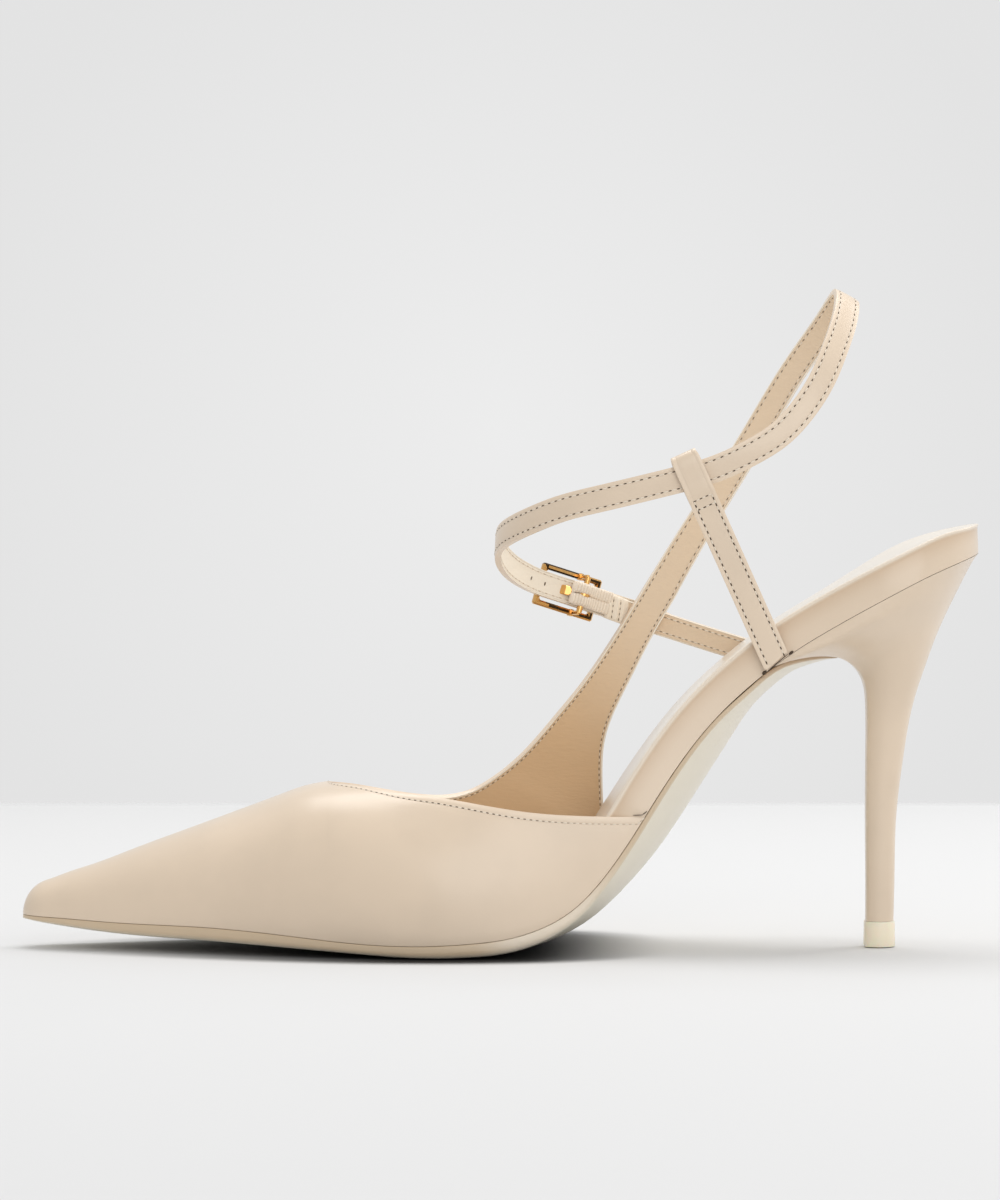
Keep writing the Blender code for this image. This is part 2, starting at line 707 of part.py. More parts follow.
ankle = strap("ankle_strap", ANKLE_STRAP, STRAP_STEPS, LEATHER)
strap("buckle_strap", BUCKLE_STRAP, BUCKLE_STRAP_STEPS, LEATHER)

ankle_curve, ankle_length = strap_curve(ANKLE_STRAP)
hole_key = ankle_length[BUCKLE_HOLE_ROW]
centre, along, across, out, half = strap_frame(ankle_curve, hole_key)


def in_buckle(a, w, f):
    return centre + along * a + across * w + out * f


def prism(name, outline, middle, side_a, side_b, axis, low, high, finish):
    # outline in the plane of side_a and side_b, drawn out along axis from low to high
    rings = []
    for d in (low, high):
        rings.append([place(*(middle + side_a * a + side_b * b + axis * d)) for a, b in outline])
    return lofted(name, rings, finish)


def oval(long, wide, sides):
    return [(long * math.cos(2 * math.pi * i / sides), wide * math.sin(2 * math.pi * i / sides))
            for i in range(sides)]


for number in range(-HOLES_FORWARD, HOLES_BEHIND + 1):
    spot = strap_frame(ankle_curve, hole_key + number * HOLE_PITCH)
    hole = oval(HOLE_RADIUS, HOLE_RADIUS, ROD_SIDES)
    if number == 0:
        hole = oval(PRONG_HOLE_LONG, PRONG_HOLE_WIDE, ROD_SIDES)
    tool = prism("hole_" + str(number + HOLES_FORWARD), hole, spot[0], spot[1], spot[2], spot[3],
                 -STRAP_THICK, STRAP_THICK, None)
    cut(ankle, tool)


# Inner strap and keeper, as an outline seen from its edge and drawn out to its width
foot = Vector(STAY_FOOT)
rise = Vector(STAY_TOP) - foot
height = rise.length
up = rise.normalized()
wide = Vector((up.z, 0.0, -up.x)).normalized()
outward = up.cross(wide)
t = STAY_THICK / 2
lid = KEEPER_SLOT_HALF + KEEPER_LEATHER
slot_end = height - KEEPER_LEATHER
slot_start = slot_end - KEEPER_SLOT_LONG
edge = [(0.0, t), (slot_start - KEEPER_NECK, t)]
edge += [(slot_start + row.along, row.share * lid) for row in KEEPER_START]
edge += [(height + row.along, row.share * lid) for row in KEEPER_FOLD]
profile = edge + [(a, -b) for a, b in reversed(edge)]
stay = prism("side_stay", profile, foot, up, outward, wide, -STAY_HALF, STAY_HALF, LEATHER)
slot = [(slot_start, SLOT_START_HALF), (slot_start + SLOT_CORNER, KEEPER_SLOT_HALF)]
slot += [(slot_end - SLOT_CORNER, KEEPER_SLOT_HALF), (slot_end, SLOT_END_HALF)]
slot += [(a, -b) for a, b in reversed(slot)]
cut(stay, prism("keeper_slot", slot, foot, up, outward, wide, -2 * STAY_HALF, 2 * STAY_HALF, None))


# Buckle
def rod(name, path, normal, radius, finish, closed=False):
    # round bar along a path that lies in one plane, mitred at its corners
    rings = []
    count = len(path)
    for i, p in enumerate(path):
        before = path[i - 1] if closed or i else p
        after = path[(i + 1) % count] if closed or i < count - 1 else p
        ways = [w.normalized() for w in (p - before, after - p) if w.length > 0]
        way = (ways[0] + ways[-1]).normalized()
        side = way.cross(normal).normalized() / max(way.dot(ways[0]), 0.5)
        rings.append([place(*(p + side * radius * a + normal * radius * b)) for a, b in oval(1.0, 1.0, ROD_SIDES)])
    return lofted(name, rings, finish, closed)


loop = []
for a, w, da, dw in ((BUCKLE_FRONT, -BUCKLE_RAIL, 0, 1), (BUCKLE_REAR, -BUCKLE_RAIL, -1, 0),
                     (BUCKLE_REAR, BUCKLE_RAIL, 0, -1), (BUCKLE_FRONT, BUCKLE_RAIL, 1, 0)):
    turn_a, turn_w = (1, 0) if da == 0 else (0, 1)
    turn_a *= 1 if a < 0 else -1
    turn_w *= 1 if w < 0 else -1
    loop.append(in_buckle(a + da * BUCKLE_CORNER, w + dw * BUCKLE_CORNER, BUCKLE_OUT))
    loop.append(in_buckle(a + turn_a * BUCKLE_CORNER, w + turn_w * BUCKLE_CORNER, BUCKLE_OUT))
frame = rod("buckle_frame", loop, out, BUCKLE_BAR_RADIUS, GOLD, True)
staple = [in_buckle(PIN_ALONG, -BUCKLE_RAIL, BUCKLE_OUT), in_buckle(PIN_ALONG, -BUCKLE_RAIL, PIN_OUT),
          in_buckle(PIN_ALONG, BUCKLE_RAIL, PIN_OUT), in_buckle(PIN_ALONG, BUCKLE_RAIL, BUCKLE_OUT)]
cut(frame, rod("pin_bar", staple, along, PIN_RADIUS, None), "UNION")

prong = []
for degrees in EYE_TURNS:
    angle = math.radians(degrees)
    prong.append(in_buckle(PIN_ALONG + EYE_RADIUS * math.cos(angle), 0.0, PIN_OUT + EYE_RADIUS * math.sin(angle)))
prong += [in_buckle(bend.along, 0.0, bend.out) for bend in PRONG]
rod("buckle_prong", prong, across, PRONG_RADIUS, GOLD)

eye = []
for degrees in ELASTIC_LOOP_TURNS:
    angle = math.radians(degrees)
    eye.append((PIN_ALONG + ELASTIC_LOOP * math.cos(angle), PIN_OUT + ELASTIC_LOOP * math.sin(angle)))
band = [(PIN_ALONG + ELASTIC_NECK, ELASTIC_TAIL_LOW), (ELASTIC_END, ELASTIC_TAIL_LOW)]
band += [(ELASTIC_END, ELASTIC_TAIL_TOP), (PIN_ALONG + ELASTIC_NECK, ELASTIC_TAIL_TOP)]
elastic = prism("buckle_elastic", eye + band, centre, along, out, across, -ELASTIC_HALF, ELASTIC_HALF, RIBBED)
bore = [(PIN_ALONG + a, PIN_OUT + b) for a, b in oval(ELASTIC_BORE, ELASTIC_BORE, 2 * ROD_SIDES)]
cut(elastic, prism("elastic_bore", bore, centre, along, out, across, -2 * ELASTIC_HALF, 2 * ELASTIC_HALF, None))
gate = [(0.0, ELASTIC_SLOT_LOW), (ELASTIC_SLOT_END, ELASTIC_SLOT_LOW)]
gate += [(ELASTIC_SLOT_END, ELASTIC_SLOT_HIGH), (0.0, ELASTIC_SLOT_HIGH)]
cut(elastic, prism("elastic_slot", gate, centre, along, out, across, -ELASTIC_SLOT_HALF, ELASTIC_SLOT_HALF, None))
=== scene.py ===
import math

import bpy
import numpy as np
from mathutils import Matrix, Vector


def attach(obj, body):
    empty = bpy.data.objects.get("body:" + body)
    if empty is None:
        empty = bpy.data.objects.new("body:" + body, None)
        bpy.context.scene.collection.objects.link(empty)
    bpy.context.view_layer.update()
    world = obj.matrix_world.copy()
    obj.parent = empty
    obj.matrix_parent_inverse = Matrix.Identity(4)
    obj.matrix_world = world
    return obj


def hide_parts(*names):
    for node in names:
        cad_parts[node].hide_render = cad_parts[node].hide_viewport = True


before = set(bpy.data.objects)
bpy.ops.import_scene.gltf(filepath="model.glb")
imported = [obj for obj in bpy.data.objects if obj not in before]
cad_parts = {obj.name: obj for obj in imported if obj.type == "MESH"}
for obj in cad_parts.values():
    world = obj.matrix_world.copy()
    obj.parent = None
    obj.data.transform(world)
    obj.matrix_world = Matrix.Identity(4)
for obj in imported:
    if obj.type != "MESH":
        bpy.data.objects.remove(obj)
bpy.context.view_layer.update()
print("frame loaded,", len(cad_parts), "nodes")

mm = 0.001
shoeLength = 239.0
midAcross = 1.0


# small helpers
def spline(rows, keys=None):
    # natural cubic through the rows, keyed on the first column
    v = np.array(rows, float)
    x = v[:, 0].copy() if keys is None else np.array(keys, float)
    n = len(x)
    h = np.diff(x)
    rise = np.diff(v, axis=0) / h[:, None]
    system = np.eye(n)
    right = np.zeros_like(v)
    for i in range(1, n - 1):
        system[i, i - 1:i + 2] = h[i - 1], 2 * (h[i - 1] + h[i]), h[i]
        right[i] = 6 * (rise[i] - rise[i - 1])
    bend = np.linalg.solve(system, right)

    def at(key):
        key = min(max(key, x[0]), x[-1])
        i = min(int(np.searchsorted(x, key, side="right")) - 1, n - 2)
        a = (x[i + 1] - key) / h[i]
        b = 1 - a
        curve = ((a ** 3 - a) * bend[i] + (b ** 3 - b) * bend[i + 1]) * h[i] ** 2 / 6
        return a * v[i] + b * v[i + 1] + curve

    return at


def ease(value, low, high):
    t = min(max((value - low) / (high - low), 0.0), 1.0)
    return t * t * (3 - 2 * t)


def runLength(points):
    steps = np.linalg.norm(np.diff(np.array(points, float), axis=0), axis=1)
    return np.concatenate([[0.0], np.cumsum(steps)])


def unit(v):
    v = np.array(v, float)
    return v / np.linalg.norm(v, axis=-1, keepdims=True)


def toWorld(points):
    return (np.array(points, float) - (shoeLength / 2, midAcross, 0.0)) * mm


def pointAt(spot, run, line):
    return np.array([np.interp(spot, run, column) for column in line.T])


def signed(values, power):
    # a power that keeps the sign, for ovals with fuller corners
    return np.sign(values) * np.abs(values) ** power


def pick(*pieces):
    bpy.ops.object.select_all(action="DESELECT")
    for piece in pieces:
        piece.select_set(True)
    bpy.context.view_layer.objects.active = pieces[0]


def skin(name, rows):
    # grid laid over rows of points, the way the rows run
    rows = np.array(rows, float)
    bpy.ops.mesh.primitive_grid_add(x_subdivisions=rows.shape[1] - 1, y_subdivisions=rows.shape[0] - 1)
    piece = bpy.context.object
    piece.name = name
    piece.data.vertices.foreach_set("co", toWorld(rows.reshape(-1, 3)).ravel())
    piece.data.update()
    return piece


def weld(piece, closed=True):
    pick(piece)
    bpy.ops.object.mode_set(mode="EDIT")
    bpy.ops.mesh.select_all(action="SELECT")
    bpy.ops.mesh.remove_doubles(threshold=0.00001)
    if closed:
        bpy.ops.mesh.normals_make_consistent(inside=False)
    bpy.ops.object.mode_set(mode="OBJECT")
    return piece


def tube(name, rings, capped=True, **tones):
    # closed skin over rings, drawn in to its middle at the ends; tones go by ring or by point
    rings = np.array(rings, float)
    order = [0, *range(len(rings))] + ([-1] if capped else [])
    rows = np.concatenate([rings, rings[:, :1]], axis=1)[order]
    for end in (0, -1) if capped else (0,):
        rows[end] = rings[end].mean(axis=0)
    piece = skin(name, rows)
    for label, values in tones.items():
        values = np.broadcast_to(np.reshape(values, (len(rings), -1)), rings.shape[:2])
        mark(piece, label, np.concatenate([values, values[:, :1]], axis=1)[order])
    return weld(piece)


def joined(name, parts):
    pick(*parts)
    bpy.ops.object.join()
    parts[0].name = name
    return parts[0]


def settled(scale, location):
    # the shape that was just added, sized and put in place
    piece = bpy.context.object
    piece.scale = scale
    piece.location = location
    bpy.ops.object.transform_apply(location=True, rotation=True, scale=True)
    return piece


def modify(piece, kind, **settings):
    pick(piece)
    step = piece.modifiers.new(kind.lower(), kind)
    for key, value in settings.items():
        setattr(step, key, value)
    bpy.ops.object.modifier_apply(modifier=step.name)


def wall(piece, thick, bevel, **more):
    modify(piece, "SOLIDIFY", thickness=thick * mm, **more)
    modify(piece, "BEVEL", width=bevel * mm, segments=3, limit_method="ANGLE", angle_limit=math.radians(60))


def mark(piece, name, values):
    layer = piece.data.attributes.new(name, "FLOAT", "POINT")
    layer.data.foreach_set("value", np.array(values, float).ravel())


def dress(piece, materials):
    # a sheet is dressed before it gets its wall, so the inner faces find the second material
    for made in materials:
        piece.data.materials.append(made)


def done(piece, materials=(), nodes=(), angle=40):
    dress(piece, materials)
    pick(piece)
    bpy.ops.object.shade_smooth_by_angle(angle=math.radians(angle))
    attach(piece, "root")
    if nodes:
        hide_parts(*nodes)
    print("made", piece.name, len(piece.data.polygons), "faces")
    return piece


# shader helpers
def addNode(tree, kind, settings=None, **sockets):
    made = tree.nodes.new(kind)
    for key, value in (settings or {}).items():
        setattr(made, key, value)
    for key, value in sockets.items():
        made.inputs[key].default_value = value
    return made


def math2(tree, operation, a, b):
    made = tree.nodes.new("ShaderNodeMath")
    made.operation = operation
    for i, value in enumerate((a, b)):
        if isinstance(value, (int, float)):
            made.inputs[i].default_value = value
        else:
            tree.links.new(value, made.inputs[i])
    return made.outputs[0]


def mapRange(tree, source, first, last, low, high, kind="LINEAR"):
    made = addNode(tree, "ShaderNodeMapRange", {"interpolation_type": kind})
    for key, value in (("From Min", first), ("From Max", last), ("To Min", low), ("To Max", high)):
        made.inputs[key].default_value = value
    tree.links.new(source, made.inputs["Value"])
    return made.outputs["Result"]


def attribute(tree, name):
    return addNode(tree, "ShaderNodeAttribute", {"attribute_name": name}).outputs["Fac"]


def ramp(tree, source, stops, blend="B_SPLINE"):
    made = tree.nodes.new("ShaderNodeValToRGB")
    made.color_ramp.interpolation = blend
    while len(made.color_ramp.elements) < len(stops):
        made.color_ramp.elements.new(0.5)
    for spot, (where, value) in zip(made.color_ramp.elements, stops):
        spot.position = where
        spot.color = (value, value, value, 1)
    tree.links.new(source, made.inputs["Fac"])
    return made.outputs["Color"]


# pores and soft mottling of leather
grain = bpy.data.node_groups.new("leatherGrain", "ShaderNodeTree")
for label, value in (("Scale", 1500.0), ("Mottle", 45.0)):
    socket = grain.interface.new_socket(label, in_out="INPUT", socket_type="NodeSocketFloat")
    socket.default_value = value
for label in ("Height", "Tone"):
    grain.interface.new_socket(label, in_out="OUTPUT", socket_type="NodeSocketFloat")
grainIn = addNode(grain, "NodeGroupInput")
grainOut = addNode(grain, "NodeGroupOutput")
spots = addNode(grain, "ShaderNodeTexCoord")
cells = addNode(grain, "ShaderNodeTexVoronoi", {"feature": "SMOOTH_F1"}, Smoothness=0.6)
dust = addNode(grain, "ShaderNodeTexNoise", Detail=4.0, Roughness=0.6)
cloud = addNode(grain, "ShaderNodeTexNoise", Detail=3.0)
for made, scale in ((cells, "Scale"), (dust, "Scale"), (cloud, "Mottle")):
    grain.links.new(spots.outputs["Object"], made.inputs["Vector"])
    grain.links.new(grainIn.outputs[scale], made.inputs["Scale"])
pores = math2(grain, "ADD", cells.outputs["Distance"], dust.outputs["Fac"])
grain.links.new(pores, grainOut.inputs["Height"])
grain.links.new(cloud.outputs["Fac"], grainOut.inputs["Tone"])

# folded edge: puffed between the edge and the stitches, drawn in where the thread runs, with a painted
# highlight along the rim
foldStops = {
    "puff": [(0.0, 0.25), (0.1, 0.9), (0.2, 0.35), (0.25, 0.0), (0.32, 0.45), (0.5, 0.8), (1.0, 0.8)],
    "rim": [(0.0, 1.0), (0.12, 0.8), (0.25, 0.0), (1.0, 0.0)],
    "insets": 4.0,
}


def useGrain(tree, **sockets):
    return addNode(tree, "ShaderNodeGroup", {"node_tree": grain}, **sockets).outputs


def scaled(color, share):
    return tuple(c * share for c in color)


def newMaterial(name, color, rough, **more):
    made = bpy.data.materials.new(name)
    made.use_nodes = True
    shader = made.node_tree.nodes["Principled BSDF"]
    shader.inputs["Base Color"].default_value = (*color, 1)
    shader.inputs["Roughness"].default_value = rough
    for key, value in more.items():
        shader.inputs[key.replace("_", " ")].default_value = value
    return made, made.node_tree, shader


def mixColor(tree, factor, a, b, blend="MIX"):
    made = tree.nodes.new("ShaderNodeMix")
    made.data_type = "RGBA"
    made.blend_type = blend
    if isinstance(factor, (int, float)):
        made.inputs["Factor"].default_value = factor
    else:
        tree.links.new(factor, made.inputs["Factor"])
    for socket, value in (("A", a), ("B", b)):
        place = [s for s in made.inputs if s.name == socket and s.type == "RGBA"][0]
        if isinstance(value, tuple):
            place.default_value = (*value, 1)
        else:
            tree.links.new(value, place)
    return [s for s in made.outputs if s.type == "RGBA"][0]


def bump(tree, shader, heights):
    # heights: socket, depth in metres
    last = None
    for socket, depth in heights:
        made = addNode(tree, "ShaderNodeBump", Strength=1.0, Distance=depth)
        tree.links.new(socket, made.inputs["Height"])
        if last:
            tree.links.new(last, made.inputs["Normal"])
        last = made.outputs["Normal"]
    tree.links.new(last, shader.inputs["Normal"])


def leatherMaterial(name, color, rough=0.36, coat=0.5, edges=True):
    made, tree, shader = newMaterial(name, color, rough, Coat_Weight=coat, Coat_Roughness=0.26)
    skinGrain = useGrain(tree)
    # painted highlight: the folded rim is a little paler
    pale = tuple(min(c * 1.05 + 0.01, 1.0) for c in color)
    tone = ramp(tree, skinGrain["Tone"], [(0.35, 0.0), (0.65, 1.0)], "EASE")
    shade = mixColor(tree, tone, scaled(color, 0.95), color)
    heights = [(skinGrain["Height"], 0.000005)]
    if edges:
        near = math2(tree, "DIVIDE", attribute(tree, "edge"), foldStops["insets"])
        shade = mixColor(tree, ramp(tree, near, foldStops["rim"]), shade, pale)
        heights.append((ramp(tree, near, foldStops["puff"]), 0.00022))
    tree.links.new(shade, shader.inputs["Base Color"])
    gloss = mapRange(tree, skinGrain["Tone"], 0.0, 1.0, rough * 0.85, rough * 1.2)
    tree.links.new(gloss, shader.inputs["Roughness"])
    bump(tree, shader, heights)
    return made


def grainMaterial(name, color, rough, dark, depth, size=(1500.0, 45.0), layers=(), gloss=None, **more):
    # the grain darkens the colour in spots, and each layer is an attribute that brings in another colour
    made, tree, shader = newMaterial(name, color, rough, **more)
    skinGrain = useGrain(tree, Scale=size[0], Mottle=size[1])
    shade = mixColor(tree, skinGrain["Tone"], scaled(color, dark), color)
    for label, other in layers:
        shade = mixColor(tree, attribute(tree, label), shade, other)
    tree.links.new(shade, shader.inputs["Base Color"])
    if gloss:
        worn = mapRange(tree, skinGrain["Tone"], 0.0, 1.0, rough * gloss[0], rough * gloss[1])
        tree.links.new(worn, shader.inputs["Roughness"])
    if depth:
        bump(tree, shader, [(skinGrain["Height"], depth)])
    return made


colors = {
    "leather": (0.71, 0.575, 0.435),
    "lining": (0.72, 0.50, 0.295),
    "cream": (0.88, 0.79, 0.66),
    # the footbed's sock; where it is partly mixed in along the rounded edge it stands for a painted highlight
    "sock": (0.80, 0.73, 0.63),
    # painted shade on the rand under the footbed's top edge
    "lip": (0.61, 0.46, 0.32),
    "edge": (0.60, 0.465, 0.315),
    # painted highlight and painted shade on the outsole edge
    "paleEdge": (0.76, 0.66, 0.53),
    "deepEdge": (0.50, 0.35, 0.22),
    "belly": (0.82, 0.76, 0.63),
    "tip": (0.86, 0.77, 0.60),
    "elastic": (0.90, 0.78, 0.64),
    # painted shade in the grooves of the elastic
    "groove": (0.45, 0.32, 0.19),
    "thread": (0.82, 0.72, 0.59),
    # painted shade inside the stitch and prong holes
    "hole": (0.09, 0.0594, 0.036),
    "gold": (0.80, 0.46, 0.16),
    # painted reflection of a dark room on the buckle bars
    "darkMetal": (0.05, 0.03, 0.015),
}

leather = leatherMaterial("leather", colors["leather"])
heelLeather = leatherMaterial("heelLeather", colors["leather"], edges=False)

# lining, with the leather turned over its rim; its pale share paints light on it, paler up the wing, and
# paler again towards the buckle end, partly as painted light and partly as a paler lining
lining, tree, shader = newMaterial("lining", colors["lining"], 0.6, Specular_IOR_Level=0.3)
liningGrain = useGrain(tree, Scale=1900.0, Mottle=70.0)
where = addNode(tree, "ShaderNodeTexCoord")
stretch = addNode(tree, "ShaderNodeMapping", Scale=(420.0, 420.0, 1500.0))
wrinkle = addNode(tree, "ShaderNodeTexNoise", Scale=1.0, Detail=5.0, Roughness=0.55)
tree.links.new(where.outputs["Object"], stretch.inputs["Vector"])
tree.links.new(stretch.outputs["Vector"], wrinkle.inputs["Vector"])
turned = mapRange(tree, attribute(tree, "edge"), 0.24, 0.32, 1.0, 0.0)
shade = mixColor(tree, liningGrain["Tone"], scaled(colors["lining"], 0.92), colors["lining"])
for share in (attribute(tree, "pale"), turned):
    shade = mixColor(tree, share, shade, colors["cream"])
tree.links.new(shade, shader.inputs["Base Color"])
bump(tree, shader, [(wrinkle.outputs["Fac"], 0.00010), (turned, 0.00012)])

# outsole: tan edge that turns to a cream underside, with a painted highlight and painted shade on the edge
soleMat, tree, shader = newMaterial("soleEdge", colors["edge"], 0.38, Coat_Weight=0.15, Coat_Roughness=0.2)
soleGrain = useGrain(tree, Scale=900.0, Mottle=60.0)
turn = ramp(tree, attribute(tree, "under"), [(0.3, 0.0), (0.7, 1.0)], "EASE")
shade = mixColor(tree, attribute(tree, "rising"), colors["edge"], colors["paleEdge"])
shade = mixColor(tree, attribute(tree, "deep"), shade, colors["deepEdge"])
shade = mixColor(tree, turn, shade, colors["belly"])
shade = mixColor(tree, 0.08, shade, soleGrain["Tone"], "MULTIPLY")
tree.links.new(shade, shader.inputs["Base Color"])
bump(tree, shader, [(soleGrain["Height"], 0.00002)])

# footbed: rand below the crease, sock above it; the lip layer is painted shade on the rand under the top
# edge, and the sock layer also paints a highlight along the rounded edge
footbed = grainMaterial("footbed", colors["leather"], 0.3, 0.96, 0.000005, Coat_Weight=0.3,
                        layers=[("lip", colors["lip"]), ("sock", colors["sock"])], Coat_Roughness=0.12)
tipMat = grainMaterial("tipPlastic", colors["tip"], 0.35, 0.95, 0.00002, (700.0, 120.0),
                       Subsurface_Weight=0.25, Subsurface_Scale=0.004)
ribMat = grainMaterial("ribbedElastic", colors["elastic"], 0.75, 0.86, 0.00005, (3200.0, 300.0),
                       [("groove", colors["groove"])], Sheen_Weight=0.25)
threadMat = grainMaterial("thread", colors["thread"], 0.6, 0.88, 0.00003, (6000.0, 900.0))
holeMat = grainMaterial("pinhole", colors["hole"], 0.9, 1 / 1.8, 0.0, (4000.0, 700.0),
                        [("faint", colors["leather"])])
metal = {"dark": 0.8, "depth": 0.000006, "size": (2500.0, 500.0), "gloss": (0.7, 1.6), "Metallic": 1.0}
goldMat = grainMaterial("gold", colors["gold"], 0.12, **metal)
darkGold = grainMaterial("darkGold", colors["darkMetal"], 0.25, **metal)
print("materials ready")

# stitches are kept as places here and made into two meshes near the end
stitches = []
# dark beads that paint the shade inside the holes
pinholes = []


def sewOn(path, normals, pitch, long=0.34, wide=0.19, tall=0.13, hole=(0.44, 0.16, 0.06), faint=0.0):
    # one thread and one dark bead of painted shade in its hole for each pitch of the path, at these shares of
    # it; long is a share too
    length = runLength(path)
    pitch = np.broadcast_to(pitch, len(path))
    faint = np.broadcast_to(faint, len(path))
    turns = np.concatenate([[0.0], np.cumsum(2 * np.diff(length) / (pitch[1:] + pitch[:-1]))])
    count = max(round(turns[-1]), 1)
    turns *= count / turns[-1]
    for i in range(count):
        for offset, store in ((0.7, stitches), (0.2, pinholes)):
            spot = np.interp(i + offset, turns, length)
            tone = np.interp(spot, length, faint)
            size = hole if store is pinholes else (long * np.interp(spot, length, pitch), wide, tall)
            ahead = pointAt(spot + 0.2, length, path)
            here = pointAt(spot - 0.2, length, path)
            way = unit(ahead - here)
            side = unit(np.cross(unit(pointAt(spot, length, normals)), way))
            store.append(((ahead + here) / 2, np.array([way, side, np.cross(way, side)]), size, tone))


def gridNormals(grid):
    return unit(np.cross(np.gradient(grid, axis=1), np.gradient(grid, axis=0)) + 1e-12)


def edgePath(grid, inset, fromEnd, lift=0.0):
    # a line at the inset from one side of a grid, and the way it faces
    normals = gridNormals(grid)
    path = []
    ways = []
    for row, way, d in zip(grid, normals, np.broadcast_to(inset, len(grid))):
        run = runLength(row)
        spot = run[-1] - d if fromEnd else d
        up = unit(pointAt(spot, run, way))
        path.append(pointAt(spot, run, row) + up * lift)
        ways.append(up)
    return np.array(path), np.array(ways)


# sole line that upper, footbed, outsole and heel share
soleShape = {
    "toeRound": 6.0,
    "heelRound": 25.0,
    "gap": 0.1,
    # station, height, medial, lateral, drop, pad, edge, belly
    "rows": [
        (0.0, 8.1, 5.0, 5.0, 0.0, 2.4, 0.8, 1.0),
        (10.0, 7.75, 8.5, 8.5, 0.0, 2.6, 1.7, 2.4),
        (25.0, 7.05, 14.0, 14.0, 0.0, 2.8, 2.65, 3.4),
        (45.0, 6.7, 21.3, 21.0, 0.0, 3.0, 3.25, 4.1),
        (65.0, 5.35, 27.3, 27.0, 0.0, 3.0, 3.05, 4.2),
        (85.0, 3.5, 32.3, 31.8, 0.0, 3.0, 2.5, 3.9),
        (100.0, 3.15, 35.0, 34.8, 0.0, 3.0, 2.95, 4.0),
        (112.0, 3.75, 35.0, 36.7, 0.0, 3.2, 3.35, 4.3),
        (122.0, 4.95, 33.2, 37.4, 0.2, 3.6, 3.45, 4.9),
        (130.0, 7.4, 31.2, 37.2, 0.5, 4.5, 3.1, 5.5),
        (139.0, 12.9, 28.6, 35.8, 1.0, 6.0, 2.4, 6.3),
        (145.5, 19.95, 26.8, 34.2, 1.5, 7.3, 1.8, 7.0),
        (152.0, 29.1, 25.1, 32.4, 1.9, 8.0, 1.5, 8.0),
        (158.0, 38.6, 23.9, 30.6, 2.1, 8.2, 1.4, 8.4),
        (165.5, 49.6, 22.6, 28.6, 2.0, 8.3, 1.3, 8.0),
        (173.0, 58.6, 21.8, 26.9, 1.6, 8.3, 1.3, 6.7),
        (180.6, 65.8, 21.5, 25.6, 1.2, 8.3, 1.3, 4.6),
        (190.0, 73.3, 22.0, 25.2, 0.7, 8.3, 1.3, 3.2),
        (200.0, 79.7, 23.1, 25.4, 0.3, 8.3, 1.3, 3.2),
        (215.5, 88.4, 25.0, 26.0, 0.0, 8.1, 1.3, 3.2),
        (225.0, 93.2, 25.6, 25.9, 0.0, 7.8, 1.3, 3.2),
        (239.0, 98.6, 25.6, 25.6, 0.0, 7.2, 1.3, 3.2),
    ],
    # the outsole leaves the line behind this station and ends under the heel
    "tongueStart": 178.0,
    "tongue": [
        (181.0, 65.95, 21.3, 25.2, 1.2, 0.0, 1.3, 4.6),
        (185.0, 69.4, 20.6, 23.5, 1.0, 0.0, 1.3, 4.5),
        (189.0, 71.75, 19.6, 21.4, 0.7, 0.0, 1.3, 4.0),
        (193.0, 72.95, 17.6, 18.6, 0.4, 0.0, 1.3, 3.2),
        (197.0, 73.4, 14.4, 14.8, 0.2, 0.0, 1.1, 2.4),
        (200.5, 73.35, 11.0, 11.0, 0.0, 0.0, 0.8, 1.5),
        (203.5, 72.9, 6.0, 6.0, 0.0, 0.0, 0.4, 0.6),
    ],
}
soleLine = spline(soleShape["rows"])
outsoleRows = [row for row in soleShape["rows"] if row[0] < soleShape["tongueStart"]] + soleShape["tongue"]
outsoleLine = spline(outsoleRows)


def rounded(station):
    if station < soleShape["toeRound"]:
        return math.sqrt(max(1 - (1 - station / soleShape["toeRound"]) ** 2, 0.0))
    past = station - (shoeLength - soleShape["heelRound"])
    if past > 0:
        return math.sqrt(max(1 - (past / soleShape["heelRound"]) ** 2, 0.0))
    return 1.0


def onLine(line, station, across, lift, plumb=0.0):
    # point over a sole line, lifted square to it, or upright where plumb is 1
    row = line(station)
    slope = (1 - plumb) * (line(station + 0.2)[1] - line(station - 0.2)[1]) / 0.4
    length = math.hypot(1.0, slope)
    level = row[1] - row[4] * (across + row[2]) / (row[2] + row[3])
    return station - lift * slope / length, across, level + lift / length


def feather(station, side):
    row = soleLine(station)
    across = row[3] * rounded(station) if side > 0 else -row[2] * rounded(station)
    return onLine(soleLine, station, across, soleShape["gap"] / 2)


def toeStations(first, last, step):
    turns = [soleShape["toeRound"] * (1 - math.cos(math.radians(90 * i / 14))) for i in range(1, 15)]
    count = math.ceil((last - soleShape["toeRound"]) / step)
    behind = np.linspace(soleShape["toeRound"], last, count + 1)[1:]
    return [first] + [s for s in turns if s > first + 0.01] + list(behind)


